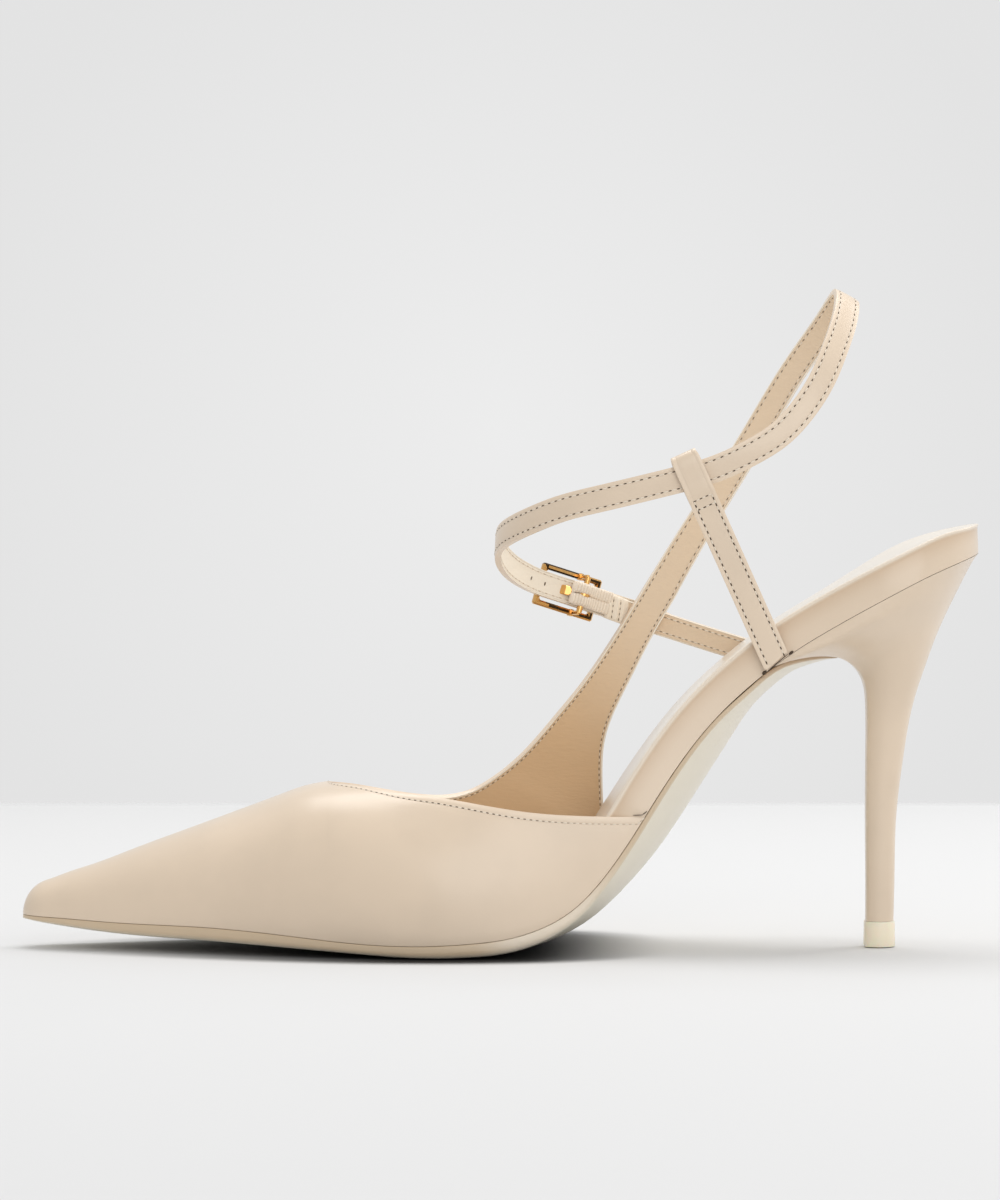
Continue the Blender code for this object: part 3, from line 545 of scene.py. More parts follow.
# upper, wing and ankle strap in one sheet of leather
upperShape = {
    "wall": 1.5,
    "columns": 24,
    "fullness": 2.3,
    # stations where the cut off ribs begin and cease to give way to the table
    "cutEnds": (98.0, 122.0),
    # extra fullness, its station and its spread
    "shoulder": (0.5, 78.0, 22.0),
    "bulge": 1.4,
    "bulgeWidth": 12.0,
    "crownRound": 6.0,
    "toeStep": 2.0,
    "innerRows": 52,
    "outerRows": 84,
    # station, across, height
    "crown": [
        (0.0, 0.0, 16.0),
        (5.0, 0.0, 16.4),
        (11.0, -0.15, 18.5),
        (17.0, -0.3, 20.45),
        (28.0, -0.8, 24.6),
        (42.0, -1.4, 29.8),
        (56.0, -2.1, 35.0),
        (64.0, -2.5, 38.0),
        (71.5, -2.8, 40.6),
        (76.5, -3.0, 41.5),
    ],
    # foot, station, across, height, reach
    "medial": [
        (76.5, 76.5, -3.0, 41.5, 1.00),
        (80.0, 77.8, -8.2, 41.5, 0.937),
        (86.0, 82.6, -13.5, 41.4, 0.83),
        (93.5, 89.0, -18.0, 40.7, 0.725),
        (101.0, 95.4, -21.5, 39.8, 0.645),
        (111.0, 104.8, -25.2, 38.9, 0.55),
        (120.5, 114.3, -27.2, 37.4, 0.48),
        (129.5, 123.6, -28.0, 35.9, 0.43),
        (138.0, 133.0, -27.6, 34.9, 0.39),
        (145.5, 142.4, -26.2, 34.4, 0.36),
        (151.0, 149.5, -24.9, 34.2, 0.35),
        (154.2, 153.9, -24.4, 34.2, 0.35),
        (155.1, 154.9, -24.35, 34.2, 0.35),
    ],
    "lateral": [
        (76.5, 76.5, -3.0, 41.5, 1.00),
        (80.0, 77.6, 2.6, 41.1, 0.917),
        (87.0, 82.3, 9.2, 40.2, 0.808),
        (97.0, 89.0, 16.2, 38.6, 0.70),
        (108.0, 97.0, 22.6, 36.9, 0.62),
        (121.0, 104.9, 26.6, 36.2, 0.54),
        (133.0, 110.8, 28.4, 37.1, 0.48),
        (142.0, 116.0, 29.2, 39.6, 0.45),
        (146.0, 119.5, 29.4, 42.0, 0.43),
    ],
    # rear station, across, height, then front station, across, height, reach
    "wing": [
        (146.3, 33.9, 27.0, 121.5, 29.4, 43.6, 0.42),
        (146.0, 33.5, 34.0, 124.5, 29.3, 46.3, 0.41),
        (145.8, 32.6, 41.0, 128.8, 29.1, 50.9, 0.40),
        (146.2, 31.4, 48.8, 133.5, 28.8, 56.5, 0.40),
        (148.5, 30.2, 56.6, 139.0, 28.4, 63.2, 0.40),
        (152.7, 29.2, 65.4, 145.0, 27.8, 71.6, 0.40),
        (158.0, 28.4, 75.9, 151.0, 27.4, 81.0, 0.40),
        (164.4, 27.7, 86.9, 157.2, 27.3, 91.1, 0.40),
    ],
}
strapShape = {
    "thick": 1.6,
    "crown": 0.18,
    "step": 1.7,
    "join": 4.0,
    # painted light: the lining pales up the wing, and again before this length of the strap, where it is
    # partly painted light and partly a paler lining
    "wingPale": 0.42,
    "wingHeights": (45.0, 88.0),
    "paleFrom": 224.0,
    # station, across, height, half width, then the way it faces
    "rows": [
        (161.0, 26.8, 89.35, 4.1, 0.00, 1.00, 0.00),
        (168.6, 26.1, 102.3, 3.8, 0.05, 1.00, 0.03),
        (181.9, 23.2, 124.0, 3.45, 0.18, 0.97, 0.10),
        (194.4, 16.3, 145.3, 3.35, 0.42, 0.78, 0.45),
        (202.3, 8.5, 157.2, 3.3, 0.50, 0.42, 0.76),
        (205.6, 0.0, 162.3, 3.3, 0.47, 0.00, 0.88),
        (205.0, -9.0, 157.4, 3.3, 0.50, -0.45, 0.74),
        (201.9, -17.0, 149.0, 3.3, 0.40, -0.80, 0.45),
        (198.5, -22.0, 141.5, 3.3, 0.25, -0.95, 0.20),
        (193.5, -25.5, 134.0, 3.3, 0.12, -0.99, 0.08),
        (187.9, -27.5, 128.2, 3.3, 0.05, -1.00, 0.00),
        (181.6, -28.6, 124.2, 3.3, 0.00, -1.00, -0.06),
        (170.6, -29.0, 119.3, 3.3, 0.00, -1.00, -0.11),
        (162.7, -29.0, 117.1, 3.3, 0.00, -1.00, -0.11),
        (153.6, -28.5, 114.8, 3.3, -0.03, -1.00, -0.05),
        (144.3, -27.0, 112.5, 3.3, -0.13, -0.99, 0.00),
        (135.0, -23.5, 110.0, 3.3, -0.36, -0.93, 0.05),
        (127.5, -17.6, 107.0, 3.3, -0.62, -0.78, 0.08),
        (122.1, -10.0, 104.2, 3.3, -0.87, -0.48, 0.08),
        (119.2, 0.0, 100.6, 3.3, -1.00, 0.00, 0.05),
        (121.4, 9.8, 95.8, 3.3, -0.87, 0.50, 0.00),
        (125.0, 17.0, 92.9, 3.3, -0.66, 0.75, 0.00),
        (129.6, 21.6, 90.6, 3.3, -0.45, 0.89, 0.00),
        (134.8, 24.0, 88.8, 3.3, -0.42, 0.91, 0.00),
        (146.1, 29.2, 84.9, 3.3, -0.42, 0.91, 0.00),
        (152.5, 31.5, 82.8, 3.3, -0.22, 0.97, 0.00),
        (158.5, 32.1, 80.8, 3.3, -0.02, 1.00, 0.00),
        (165.0, 31.9, 78.6, 2.2, 0.03, 1.00, 0.00),
    ],
    "holeRow": 23,
    "holePitch": 4.7,
    "holeSize": (0.26, 0.55, 0.08),
    "holeFaces": (0.95, -0.54),
}


def ribPower(station, side):
    # the inner side is fuller beside the throat
    extra, middle, spread = upperShape["shoulder"]
    swollen = extra * math.exp(-((station - middle) / spread) ** 2) if side < 0 else 0.0
    return 2 / (upperShape["fullness"] + swollen)


def cutReach(foot, top, reach, side):
    # close behind the throat a rib is a full one cut off at the top line
    ridge = upperShape["crown"][-1][1]
    share = min(max((top[1] - ridge) / (foot[1] - ridge), 0.0), 1.0)
    cut = math.acos(share ** (1 / ribPower(foot[0], side))) * 2 / math.pi
    return cut + (reach - cut) * ease(foot[0], *upperShape["cutEnds"])


def rib(foot, top, reach, side):
    full = reach * math.pi / 2
    power = ribPower(foot[0], side)
    turn = full * np.linspace(0.0, 1.0, upperShape["columns"] + 1)
    endIn = max(math.cos(full), 0.0) ** power
    up = np.sin(turn) ** power / math.sin(full) ** power
    inner = 1 - (np.maximum(np.cos(turn), 0.0) ** power - endIn) / (1 - endIn)
    swell = upperShape["bulge"] * min(abs(foot[1] - top[1]) / upperShape["bulgeWidth"], 1.0)
    out = np.zeros((len(turn), 3))
    out[:, 0] = foot[0] + (top[0] - foot[0]) * up
    out[:, 1] = foot[1] + (top[1] - foot[1]) * inner
    out[:, 1] += side * swell * np.sin(math.pi * turn / full) ** 2 * (1 - up)
    out[:, 2] = foot[2] + (top[2] - foot[2]) * up
    return out


crownLine = spline(upperShape["crown"])


def toeRow(station):
    top = crownLine(station)
    base = soleLine(station)[1]
    t = min(station / upperShape["crownRound"], 1.0)
    top[2] = base + (top[2] - base) * math.sqrt(1 - (1 - t) ** 2)
    inner = rib(feather(station, -1), top, 1.0, -1)
    outer = rib(feather(station, 1), top, 1.0, 1)
    return np.concatenate([outer, inner[-2::-1]])


def medialRows(count):
    curve = spline(upperShape["medial"])
    keys = np.linspace(upperShape["medial"][0][0], upperShape["medial"][-1][0], count)
    rows = []
    for row in [curve(key) for key in keys]:
        foot = feather(row[0], -1)
        rows.append(rib(foot, row[1:4], cutReach(foot, row[1:4], row[4], -1), -1)[::-1])
    return np.array(rows)


def lateralRows(count):
    table = [(*feather(row[0], 1), *row[1:]) for row in upperShape["lateral"]]
    corner = len(table) - 1
    table += upperShape["wing"]
    keys = runLength([(row[0] + row[3], row[2] + row[5]) for row in table])
    curve = spline(table, keys)
    rows = []
    for key in np.linspace(0.0, keys[-1], count):
        row = curve(key)
        foot = feather(row[0], 1) if key < keys[corner] else row[:3]
        rows.append(rib(foot, row[3:6], cutReach(foot, row[3:6], row[6], 1), 1))
    return np.array(rows), keys[corner] / keys[-1]


def strapAt(curve, key):
    row = curve(key)
    along = unit(curve(key + 0.2)[:3] - curve(key - 0.2)[:3])
    across = unit(np.cross(along, row[4:]))
    return row[:3], along, across, np.cross(across, along), row[3]


def strapRows(curve, keys, columns, thick, crown):
    share = np.linspace(-1.0, 1.0, columns + 1)
    rows = []
    for key in keys:
        middle, along, across, out, half = strapAt(curve, key)
        lift = thick / 2 + crown * (1 - share ** 2)
        rows.append(middle + np.outer(share * half, across) + np.outer(lift, out))
    return np.array(rows)


throat = upperShape["crown"][-1][0]
toeGrid = np.array([toeRow(s) for s in toeStations(0.0, throat, upperShape["toeStep"])])
medialGrid = medialRows(upperShape["innerRows"])
lateralGrid, cornerShare = lateralRows(upperShape["outerRows"])
strapLength = runLength([row[:3] for row in strapShape["rows"]])
strapCurve = spline(strapShape["rows"], strapLength)
strapKeys = np.arange(strapShape["join"], strapLength[-1], strapShape["step"])
strapGrid = strapRows(strapCurve, strapKeys, upperShape["columns"], strapShape["thick"], strapShape["crown"])
outerGrid = np.concatenate([lateralGrid, strapGrid])
wingStart = int(cornerShare * len(lateralGrid)) + 1

# how far the thread lies from each edge, row by row
vampInset = 1.9
wingInset = 1.35
strapInset = 1.15
wingInsets = np.linspace(vampInset, wingInset, len(lateralGrid))
outerInset = np.concatenate([wingInsets, np.full(len(strapGrid), strapInset)])


def edgeShare(points, edges, insets):
    # distance to the nearest edge, counted in stitch insets
    out = []
    for block in np.array_split(points, max(len(points) // 500, 1)):
        gaps = np.linalg.norm(block[:, None] - edges[None], axis=2)
        closest = gaps.argmin(axis=1)
        out.append(gaps[np.arange(len(block)), closest] / insets[closest])
    return np.minimum(np.concatenate(out), 6.0)


def finer(line, times=6):
    spots = np.linspace(0, len(line) - 1, (len(line) - 1) * times + 1)
    return pointAt(spots, np.arange(len(line)), line).T


def hemStrap(piece, grid, inset, times, pale):
    edges = finer(np.concatenate([grid[:, 0], grid[:, -1]]), times)
    mark(piece, "edge", edgeShare(grid.reshape(-1, 3), edges, np.full(len(edges), inset)))
    mark(piece, "pale", np.full(grid.shape[:2], pale))


edgeLines = []
for line, inset in ((medialGrid[:, 0], np.full(len(medialGrid), vampInset)), (outerGrid[:, -1], outerInset),
                    (outerGrid[wingStart:, 0], outerInset[wingStart:])):
    edgeLines.append(finer(np.column_stack([line, inset])))
edgeLines = np.concatenate(edgeLines)

parts = []
for name, grid in (("toe", toeGrid), ("medialSide", medialGrid), ("outerSide", outerGrid)):
    part = skin(name, grid)
    points = grid.reshape(-1, 3)
    mark(part, "edge", edgeShare(points, edgeLines[:, :3], edgeLines[:, 3]))
    pale = np.zeros(grid.shape[:2])
    # painted light: the lining's pale share rises up the wing, and again towards the buckle end of the strap
    if name == "outerSide":
        low = strapShape["wingPale"]
        ends = strapShape["paleFrom"] - 25, strapShape["paleFrom"]
        rise = [low * ease(row[:, 2].mean(), *strapShape["wingHeights"]) for row in lateralGrid]
        rise += [low + (1 - low) * ease(key, *ends) for key in strapKeys]
        pale[:] = np.array(rise)[:, None]
    mark(part, "pale", pale)
    parts.append(part)
upper = weld(joined("upperLeather", parts), closed=False)
dress(upper, [leather, lining])
wall(upper, upperShape["wall"], 0.4, offset=-1.0, use_even_offset=True, material_offset=1)
done(upper, (), ("upper", "ankle_strap"))

# thread along the top line, both edges of the wing and both edges of the strap
vampPitch = 1.55
strapPitch = 2.05
liningInset = 0.92
liningDepth = -(upperShape["wall"] + 0.04)
liningStitch = {"long": 0.3, "wide": 0.13, "tall": 0.09}
liningFaint = 0.28
outerPitch = np.concatenate([np.full(len(lateralGrid), vampPitch), np.full(len(strapGrid), strapPitch)])
# the stitches fade along the pale end of the strap and where the vamp turns to the arch
strapFade = 0.55
strapFadeEnds = strapShape["paleFrom"] - 30, strapShape["paleFrom"] - 5
vampFade = 0.8
vampFadeEnds = 112.0, 150.0
quiet = [strapFade * ease(key, *strapFadeEnds) for key in strapKeys]
quiet = liningFaint + np.concatenate([np.zeros(len(lateralGrid)), quiet])
path, ways = edgePath(medialGrid, vampInset, False)
sewOn(path, ways, vampPitch, faint=[vampFade * ease(point[0], *vampFadeEnds) for point in path])
path, ways = edgePath(medialGrid, liningInset, False, liningDepth)
sewOn(path, -ways, vampPitch, faint=liningFaint, **liningStitch)
for start, fromEnd in ((0, True), (wingStart, False)):
    path, ways = edgePath(outerGrid[start:], outerInset[start:], fromEnd)
    sewOn(path, ways, outerPitch[start:])
    path, ways = edgePath(outerGrid[start:], liningInset, fromEnd, liningDepth)
    sewOn(path, -ways, outerPitch[start:], faint=quiet[start:], **liningStitch)

# holes for the prong, drawn as dark beads of painted shade
holeKey = strapLength[strapShape["holeRow"]]
for number in (-2, -1, 1, 2):
    spot = holeKey + strapShape["holePitch"] * number
    middle, along, across, out, half = strapAt(strapCurve, spot)
    for face in strapShape["holeFaces"]:
        pinholes.append((middle + out * face, np.array([along, across, out]), strapShape["holeSize"], 0.2))

# footbed
footbedShape = {
    "start": 3.6,
    "inset": 2.4,
    "upperEnd": (145.0, 156.5),
    "outerEnd": (141.0, 150.0),
    "plumb": (196.0, 232.0),
    "dish": 0.5,
    "fullPad": 8.0,
    "narrow": 8.0,
    "narrowEnd": 100.0,
    "step": 2.6,
    # closer rings where the upper ends
    "fine": (140.3, 158.0, 0.65),
    # station, how much higher the top lies at the inner and at the outer edge
    "lift": [
        (0.0, 0.0, 0.0), (170.0, 0.0, 0.0), (185.0, 0.0, -0.6), (195.0, 0.0, -1.1), (208.0, 0.1, -1.0),
        (217.0, 0.4, 0.1), (223.0, 0.8, 0.8), (229.0, 1.2, 0.8), (234.0, 0.8, 0.5), (239.0, 0.2, 0.2),
    ],
}
bedLift = spline(footbedShape["lift"])


def outlineOut(station, side):
    # plan direction square to the outline, so the lip also turns round the back end
    if station > shoeLength - 0.001:
        return 1.0, 0.0
    column = 3 if side > 0 else 2
    before, after = [soleLine(s)[column] * rounded(s) for s in (station - 0.01, station + 0.01)]
    slope = (after - before) / 0.02 * ease(station, 170.0, 200.0)
    size = math.hypot(1.0, slope)
    return -slope / size, side / size


def footbedSide(station, side):
    row = soleLine(station)
    pad = row[5] + bedLift(station)[2 if side > 0 else 1]
    q = min(pad / footbedShape["fullPad"], 1.0)
    # inset, lift, sock with its painted edge highlight, lip shade painted under the top edge
    profile = [(0.0, 0.07, 0, 0), (0.0, 0.4, 0, 0), (0.02, 0.22 * pad, 0, 0), (0.08, 0.42 * pad, 0, 0.1),
               (0.16, 0.6 * pad, 0, 0.4), (0.22, pad - 1.9 * q, 0, 0.8), (0.24, pad - 1.3 * q, 0, 1),
               (0.18, pad - 0.9 * q, 0.1, 0.5), (0.06, pad - 0.68 * q, 0.4, 0), (0.0, pad - 0.48 * q, 0.5, 0),
               (0.04, pad - 0.26 * q, 0.5, 0), (0.2, pad - 0.08 * q, 0.6, 0), (0.5, pad, 0.7, 0),
               (0.75, pad - 0.06 * q, 0.8, 0.3), (0.95, pad + 0.02, 1, 0), (1.5, pad + 0.1, 1, 0),
               (3.0, pad + 0.15, 1, 0), (5.0, pad + 0.15, 1, 0)]
    narrow = 1.0
    if station < footbedShape["narrowEnd"]:
        narrow = min(row[2] * rounded(station) / footbedShape["narrow"], 1.0)
    outX, outY = outlineOut(station, side)
    edge = side * row[3 if side > 0 else 2] * rounded(station)
    plumb = ease(station, *footbedShape["plumb"])
    points = []
    for d, lift, sock, lip in profile:
        if side < 0:
            hidden = 1 - ease(station, *footbedShape["upperEnd"])
        else:
            hidden = 1 - ease(onLine(soleLine, station, edge, lift, plumb)[0], *footbedShape["outerEnd"])
        across = edge - d * narrow * outY - side * footbedShape["inset"] * hidden
        points.append((station - d * narrow * outX, across, lift, sock, lip))
    return np.array(points)


def footbedRing(station):
    inner, outer = footbedSide(station, -1), footbedSide(station, 1)
    steps = np.linspace(0.0, 1.0, 9)[1:-1, None]
    top = inner[-1] + (outer[-1] - inner[-1]) * steps
    depth = footbedShape["dish"] * min(outer[-1][1] / footbedShape["narrow"], 1.0)
    top[:, 2] -= depth * 4 * steps[:, 0] * (1 - steps[:, 0])
    bottom = outer[0] + (inner[0] - outer[0]) * steps
    return np.concatenate([inner, top, outer[::-1], bottom])


heelTurn = np.linspace(0.0, math.pi / 2, 24)
heelStart = shoeLength - soleShape["heelRound"]
bedStations = toeStations(footbedShape["start"], heelStart, footbedShape["step"])
bedStations += [heelStart + soleShape["heelRound"] * math.sin(t) for t in heelTurn[1:]]
bedStations = sorted(bedStations + list(np.arange(*footbedShape["fine"])))
rows = []
tones = []
for station in bedStations:
    ring = footbedRing(station)
    plumb = ease(station, *footbedShape["plumb"])
    rows.append([onLine(soleLine, s, across, lift, plumb) for s, across, lift, sock, lip in ring])
    tones.append(ring[:, 3:])
tones = np.array(tones)
bed = tube("footbedCover", rows, capped=False, sock=tones[:, :, 0], lip=tones[:, :, 1])
done(bed, [footbed], ("insole",), angle=50)

# outsole
outsoleShape = {
    "bottomSteps": 22,
    "bevel": 0.35,
    "start": 0.02,
    "step": 2.4,
    # painted light: the edge is painted paler where it rises from the tread and catches the light, and
    # painted darker as shade at the lip of the heel
    "pale": 0.9,
    "paleStart": (112.0, 124.0),
    "paleEnd": (138.0, 152.0),
    "darkStart": (181.0, 187.0),
}


def outsoleRing(station):
    row = outsoleLine(station)
    low = -row[2] * rounded(station)
    high = row[3] * rounded(station)
    edge, belly = row[6], row[7]
    bevel = min(outsoleShape["bevel"] * edge, (high - low) / 6)
    lip = min(0.25, 0.2 * edge, (high - low) / 8)
    ring = [(low + lip, 0.0, 0), (low + 0.3 * lip, -0.3 * lip, 0), (low, -lip, 0), (low, -0.5 * edge, 0.15)]
    ring += [(low, -(edge - bevel), 0.35), (low + 0.3 * bevel, -(edge - 0.3 * bevel), 0.5)]
    mirrored = [(low + high - y, lift, tone) for y, lift, tone in reversed(ring)]
    for i in range(outsoleShape["bottomSteps"] + 1):
        f = 2 * i / outsoleShape["bottomSteps"] - 1
        across = (low + high) / 2 + f * ((high - low) / 2 - bevel)
        ring.append((across, -(edge + (belly - edge) * (1 - f * f)), 0.7 + 0.3 * (1 - abs(f))))
    ring += mirrored
    points = []
    for y, lift, tone in ring:
        x, y, z = onLine(outsoleLine, station, y, lift - soleShape["gap"] / 2)
        points.append((x, y, max(z, 0.0)))
    return points, [tone for y, lift, tone in ring]


soleStations = toeStations(outsoleShape["start"], soleShape["tongue"][-1][0], outsoleShape["step"])
rings, tones = zip(*[outsoleRing(s) for s in soleStations])
rising = []
for s in soleStations:
    lit = ease(s, *outsoleShape["paleStart"]) * (1 - ease(s, *outsoleShape["paleEnd"]))
    rising.append(outsoleShape["pale"] * lit)
deep = [ease(s, *outsoleShape["darkStart"]) for s in soleStations]
sole = tube("outsoleSkin", rings, under=tones, rising=rising, deep=deep)
done(sole, [soleMat], ("outsole",), angle=50)

# heel and tip
heelShape = {
    "seatFront": 186.8,
    "widest": 0.45,
    "corner": 0.6,
    "steps": 22,
    "rings": 80,
    # front, front height, back, back height, half width, flatness of the front
    "rows": [
        (190.6, 72.2, 237.6, 96.6, 24.6, 0.84),
        (194.4, 72.9, 236.0, 93.6, 23.0, 0.80),
        (198.6, 73.2, 233.6, 88.8, 20.0, 0.75),
        (202.6, 72.9, 231.0, 83.4, 16.2, 0.70),
        (206.0, 71.6, 228.2, 76.8, 12.4, 0.65),
        (208.6, 69.4, 226.0, 70.6, 9.6, 0.62),
        (210.4, 66.0, 224.1, 65.0, 7.8, 0.60),
        (211.1, 60.0, 222.4, 58.8, 6.5, 0.60),
        (211.1, 48.0, 220.5, 47.6, 5.3, 0.60),
        (211.0, 32.0, 218.7, 32.0, 4.5, 0.60),
        (211.1, 18.0, 218.35, 18.0, 4.1, 0.60),
        (211.1, 6.4, 218.1, 6.4, 4.0, 0.60),
    ],
    # front, back, half width, flatness of the front
    "tip": (210.8, 218.4, 4.2, 0.60),
    "flare": 0.12,
}
heelShares = [(1 - math.cos(math.pi * j / heelShape["steps"])) / 2 for j in range(heelShape["steps"] + 1)]


def heelHalf(f, flat):
    if f < heelShape["widest"]:
        return 1 - (1 - flat) * ((heelShape["widest"] - f) / heelShape["widest"]) ** 2
    return math.sqrt(max(1 - ((f - heelShape["widest"]) / (1 - heelShape["widest"])) ** 2, 0.0))


def softCorner(past, radius):
    # how far a rounded corner draws in, a little way past the end
    return radius - math.sqrt(max(radius ** 2 - max(radius - past, 0.0) ** 2, 0.0))


def heelRing(row):
    left = []
    right = []
    for f in heelShares:
        x = row[0] + f * (row[2] - row[0])
        z = row[1] + f * (row[3] - row[1])
        half = row[4] * heelHalf(f, row[5]) - softCorner(f * (row[2] - row[0]), heelShape["corner"])
        left.append((x, -half, z))
        right.append((x, half, z))
    return left + right[::-1]


def seatRing(drop):
    left = []
    right = []
    for f in heelShares:
        s = heelShape["seatFront"] + f * (shoeLength - 0.05 - heelShape["seatFront"])
        row = soleLine(s)
        corner = softCorner(s - heelShape["seatFront"], heelShape["corner"])
        left.append(onLine(soleLine, s, corner - row[2] * rounded(s), drop, 1.0))
        right.append(onLine(soleLine, s, row[3] * rounded(s) - corner, drop, 1.0))
    return left + right[::-1]


# every line down the heel runs smoothly from the seat to the tip
heelRows = np.array([seatRing(-soleShape["gap"] / 2)] + [heelRing(row) for row in heelShape["rows"]])
heelKeys = runLength(heelRows.mean(axis=1))
heelCurve = spline(heelRows.reshape(len(heelRows), -1), heelKeys)
rings = [heelCurve(key).reshape(-1, 3) for key in np.linspace(0.0, heelKeys[-1], heelShape["rings"])]
heel = tube("heelCover", rings)
done(heel, [heelLeather], ("heel",), angle=50)

tipFront, tipBack, tipHalf, tipFlat = heelShape["tip"]
flare = heelShape["flare"]
tipRings = []
for height, grow in ((6.35, -0.3), (6.35, -0.12), (6.3, -0.03), (6.2, 0.0), (3.0, 0.5 * flare), (0.18, flare),
                     (0.05, flare - 0.05), (0.0, flare - 0.2)):
    tipRings.append(heelRing((tipFront - grow, height, tipBack + grow, height, tipHalf + grow, tipFlat)))
done(tube("heelTipCap", tipRings), [tipMat], ("heel_tip",), angle=50)

# inner strap: one strip up the outside, folded over the ankle strap and down behind itself
stayShape = {
    "foot": (187.75, -23.0, 71.7),
    "top": (164.7, -29.55, 122.3),
    "half": 3.5,
    "layer": 0.86,
    "inset": 1.15,
    "corner": 0.7,
    "slant": 0.85,
    "slantEnd": 5.0,
    # how much narrower the fold is, and how far along
    "foldIn": 0.3,
    "foldLong": 0.8,
    "pitch": 1.8,
    # along from the foot and out from the middle, up the outside to the fold
    "path": [(0.0, 0.45), (20.0, 0.45), (38.0, 0.45), (43.5, 0.5), (45.2, 1.0), (47.0, 1.75), (50.0, 1.8),
             (53.8, 1.75), (55.7, 1.45), (56.8, 0.75), (57.0, 0.0)],
    "endSteps": (0.0, 0.12, 0.35, 0.9),
    "step": 1.6,
    "keeper": (40.0, 76.0, 0.45),
}
stayFoot = np.array(stayShape["foot"])
stayUp = unit(np.array(stayShape["top"]) - stayFoot)
stayWide = unit([stayUp[2], 0.0, -stayUp[0]])
stayOut = np.cross(stayUp, stayWide)
stayPath = stayShape["path"] + [(a, -b) for a, b in stayShape["path"][-2::-1]]
stayKeys = runLength(stayPath)
stayCurve = spline(stayPath, stayKeys)
share = np.linspace(-1.0, 1.0, 13)


def stayPoint(key, lift=0.0):
    a, b = stayCurve(key)
    ahead = stayCurve(key + 0.1) - stayCurve(key - 0.1)
    way = unit([-ahead[1], ahead[0]])
    return stayFoot + stayUp * (a + way[0] * lift) + stayOut * (b + way[1] * lift)


def stayRow(key):
    a = stayCurve(key)[0]
    half = stayShape["half"] - softCorner(max(a, 0.0), stayShape["corner"])
    half -= stayShape["foldIn"] * math.exp(-((a - stayShape["path"][-1][0]) / stayShape["foldLong"]) ** 2)
    # the foot is cut along the seam
    slant = stayShape["slant"] * (1 + share) * (1 - ease(a, 0.0, stayShape["slantEnd"]))
    return stayPoint(key) + np.outer(share * half, stayWide) + np.outer(slant, stayUp)


stayEnd = stayKeys[-1]
stayEnds = np.array(stayShape["endSteps"])
stayStep = stayShape["step"]
keeperStart, keeperEnd, keeperStep = stayShape["keeper"]
stayStops = np.concatenate([
    stayEnds,
    np.arange(stayStep, keeperStart, stayStep),
    np.arange(keeperStart, keeperEnd, keeperStep),
    np.arange(keeperEnd, stayEnd - stayStep, stayStep),
    stayEnd - stayEnds[::-1],
])
stayGrid = np.array([stayRow(key) for key in stayStops])
stay = skin("innerStay", stayGrid)
hemStrap(stay, stayGrid, stayShape["inset"], 1, 0.0)
wall(stay, stayShape["layer"], 0.28, offset=0.0)
done(stay, [leather], ("side_stay",))


# two rows up each face of the stay, and a box where the keeper begins
def sewStay(keys, acrosses, pitch):
    for face in (1, -1):
        spots = [key if face > 0 else stayEnd - key for key in keys]
        lift = stayShape["layer"] / 2 + 0.02
        path = np.array([stayPoint(key, lift) + stayWide * w for key, w in zip(spots, acrosses)])
        ways = np.repeat((stayOut * face)[None], len(path), axis=0)
        sewOn(path, ways, pitch, hole=(0.58, 0.17, 0.06))


sewWidth = stayShape["half"] - stayShape["inset"]
sewEnds = 1.3, 45.9
boxStart = 43.2
for side in (-1, 1):
    sewStay(np.linspace(*sewEnds, 60), np.full(60, side * sewWidth), stayShape["pitch"])
for key in (boxStart, sewEnds[1]):
    sewStay(np.full(12, key), np.linspace(-sewWidth, sewWidth, 12), 1.5)
print("stay sewn")

# outer strap to the buckle
buckleStrapShape = {
    "thick": 1.5,
    "crown": 0.1,
    "start": 0.3,
    "lengths": 40,
    "columns": 14,
    "innerPitch": 1.7,
    "innerFaint": 0.4,
    # rows under the folded end, which has stitches of its own
    "covered": 6,
    "rows": [
        (147.6, 27.6, 84.2, 3.1, -0.42, 0.91, 0.00),
        (152.6, 29.3, 82.3, 3.1, -0.20, 0.97, 0.00),
        (160.0, 29.9, 79.9, 3.1, 0.00, 1.00, 0.00),
        (172.0, 29.0, 76.1, 3.1, 0.06, 1.00, 0.00),
        (184.0, 27.2, 72.4, 3.1, 0.08, 1.00, 0.00),
        (191.5, 26.7, 69.9, 3.1, 0.05, 1.00, 0.00),
    ],
}
outerLength = runLength([row[:3] for row in buckleStrapShape["rows"]])
outerCurve = spline(buckleStrapShape["rows"], outerLength)
outerKeys = np.linspace(buckleStrapShape["start"], outerLength[-1], buckleStrapShape["lengths"])
bandThick = buckleStrapShape["thick"]
bandGrid = strapRows(outerCurve, outerKeys, buckleStrapShape["columns"], bandThick, buckleStrapShape["crown"])
band = skin("buckleBand", bandGrid)
hemStrap(band, bandGrid, strapInset, 2, 0.4)
dress(band, [leather, lining])
wall(band, bandThick, 0.4, offset=-1.0, material_offset=1)
done(band, (), ("buckle_strap",))
for fromEnd in (True, False):
    path, ways = edgePath(bandGrid, strapInset, fromEnd)
    sewOn(path, ways, strapPitch)
    path, ways = edgePath(bandGrid, strapInset, fromEnd, -bandThick - 0.03)
    bare = slice(buckleStrapShape["covered"], None)
    sewOn(path[bare], -ways[bare], buckleStrapShape["innerPitch"], faint=buckleStrapShape["innerFaint"])

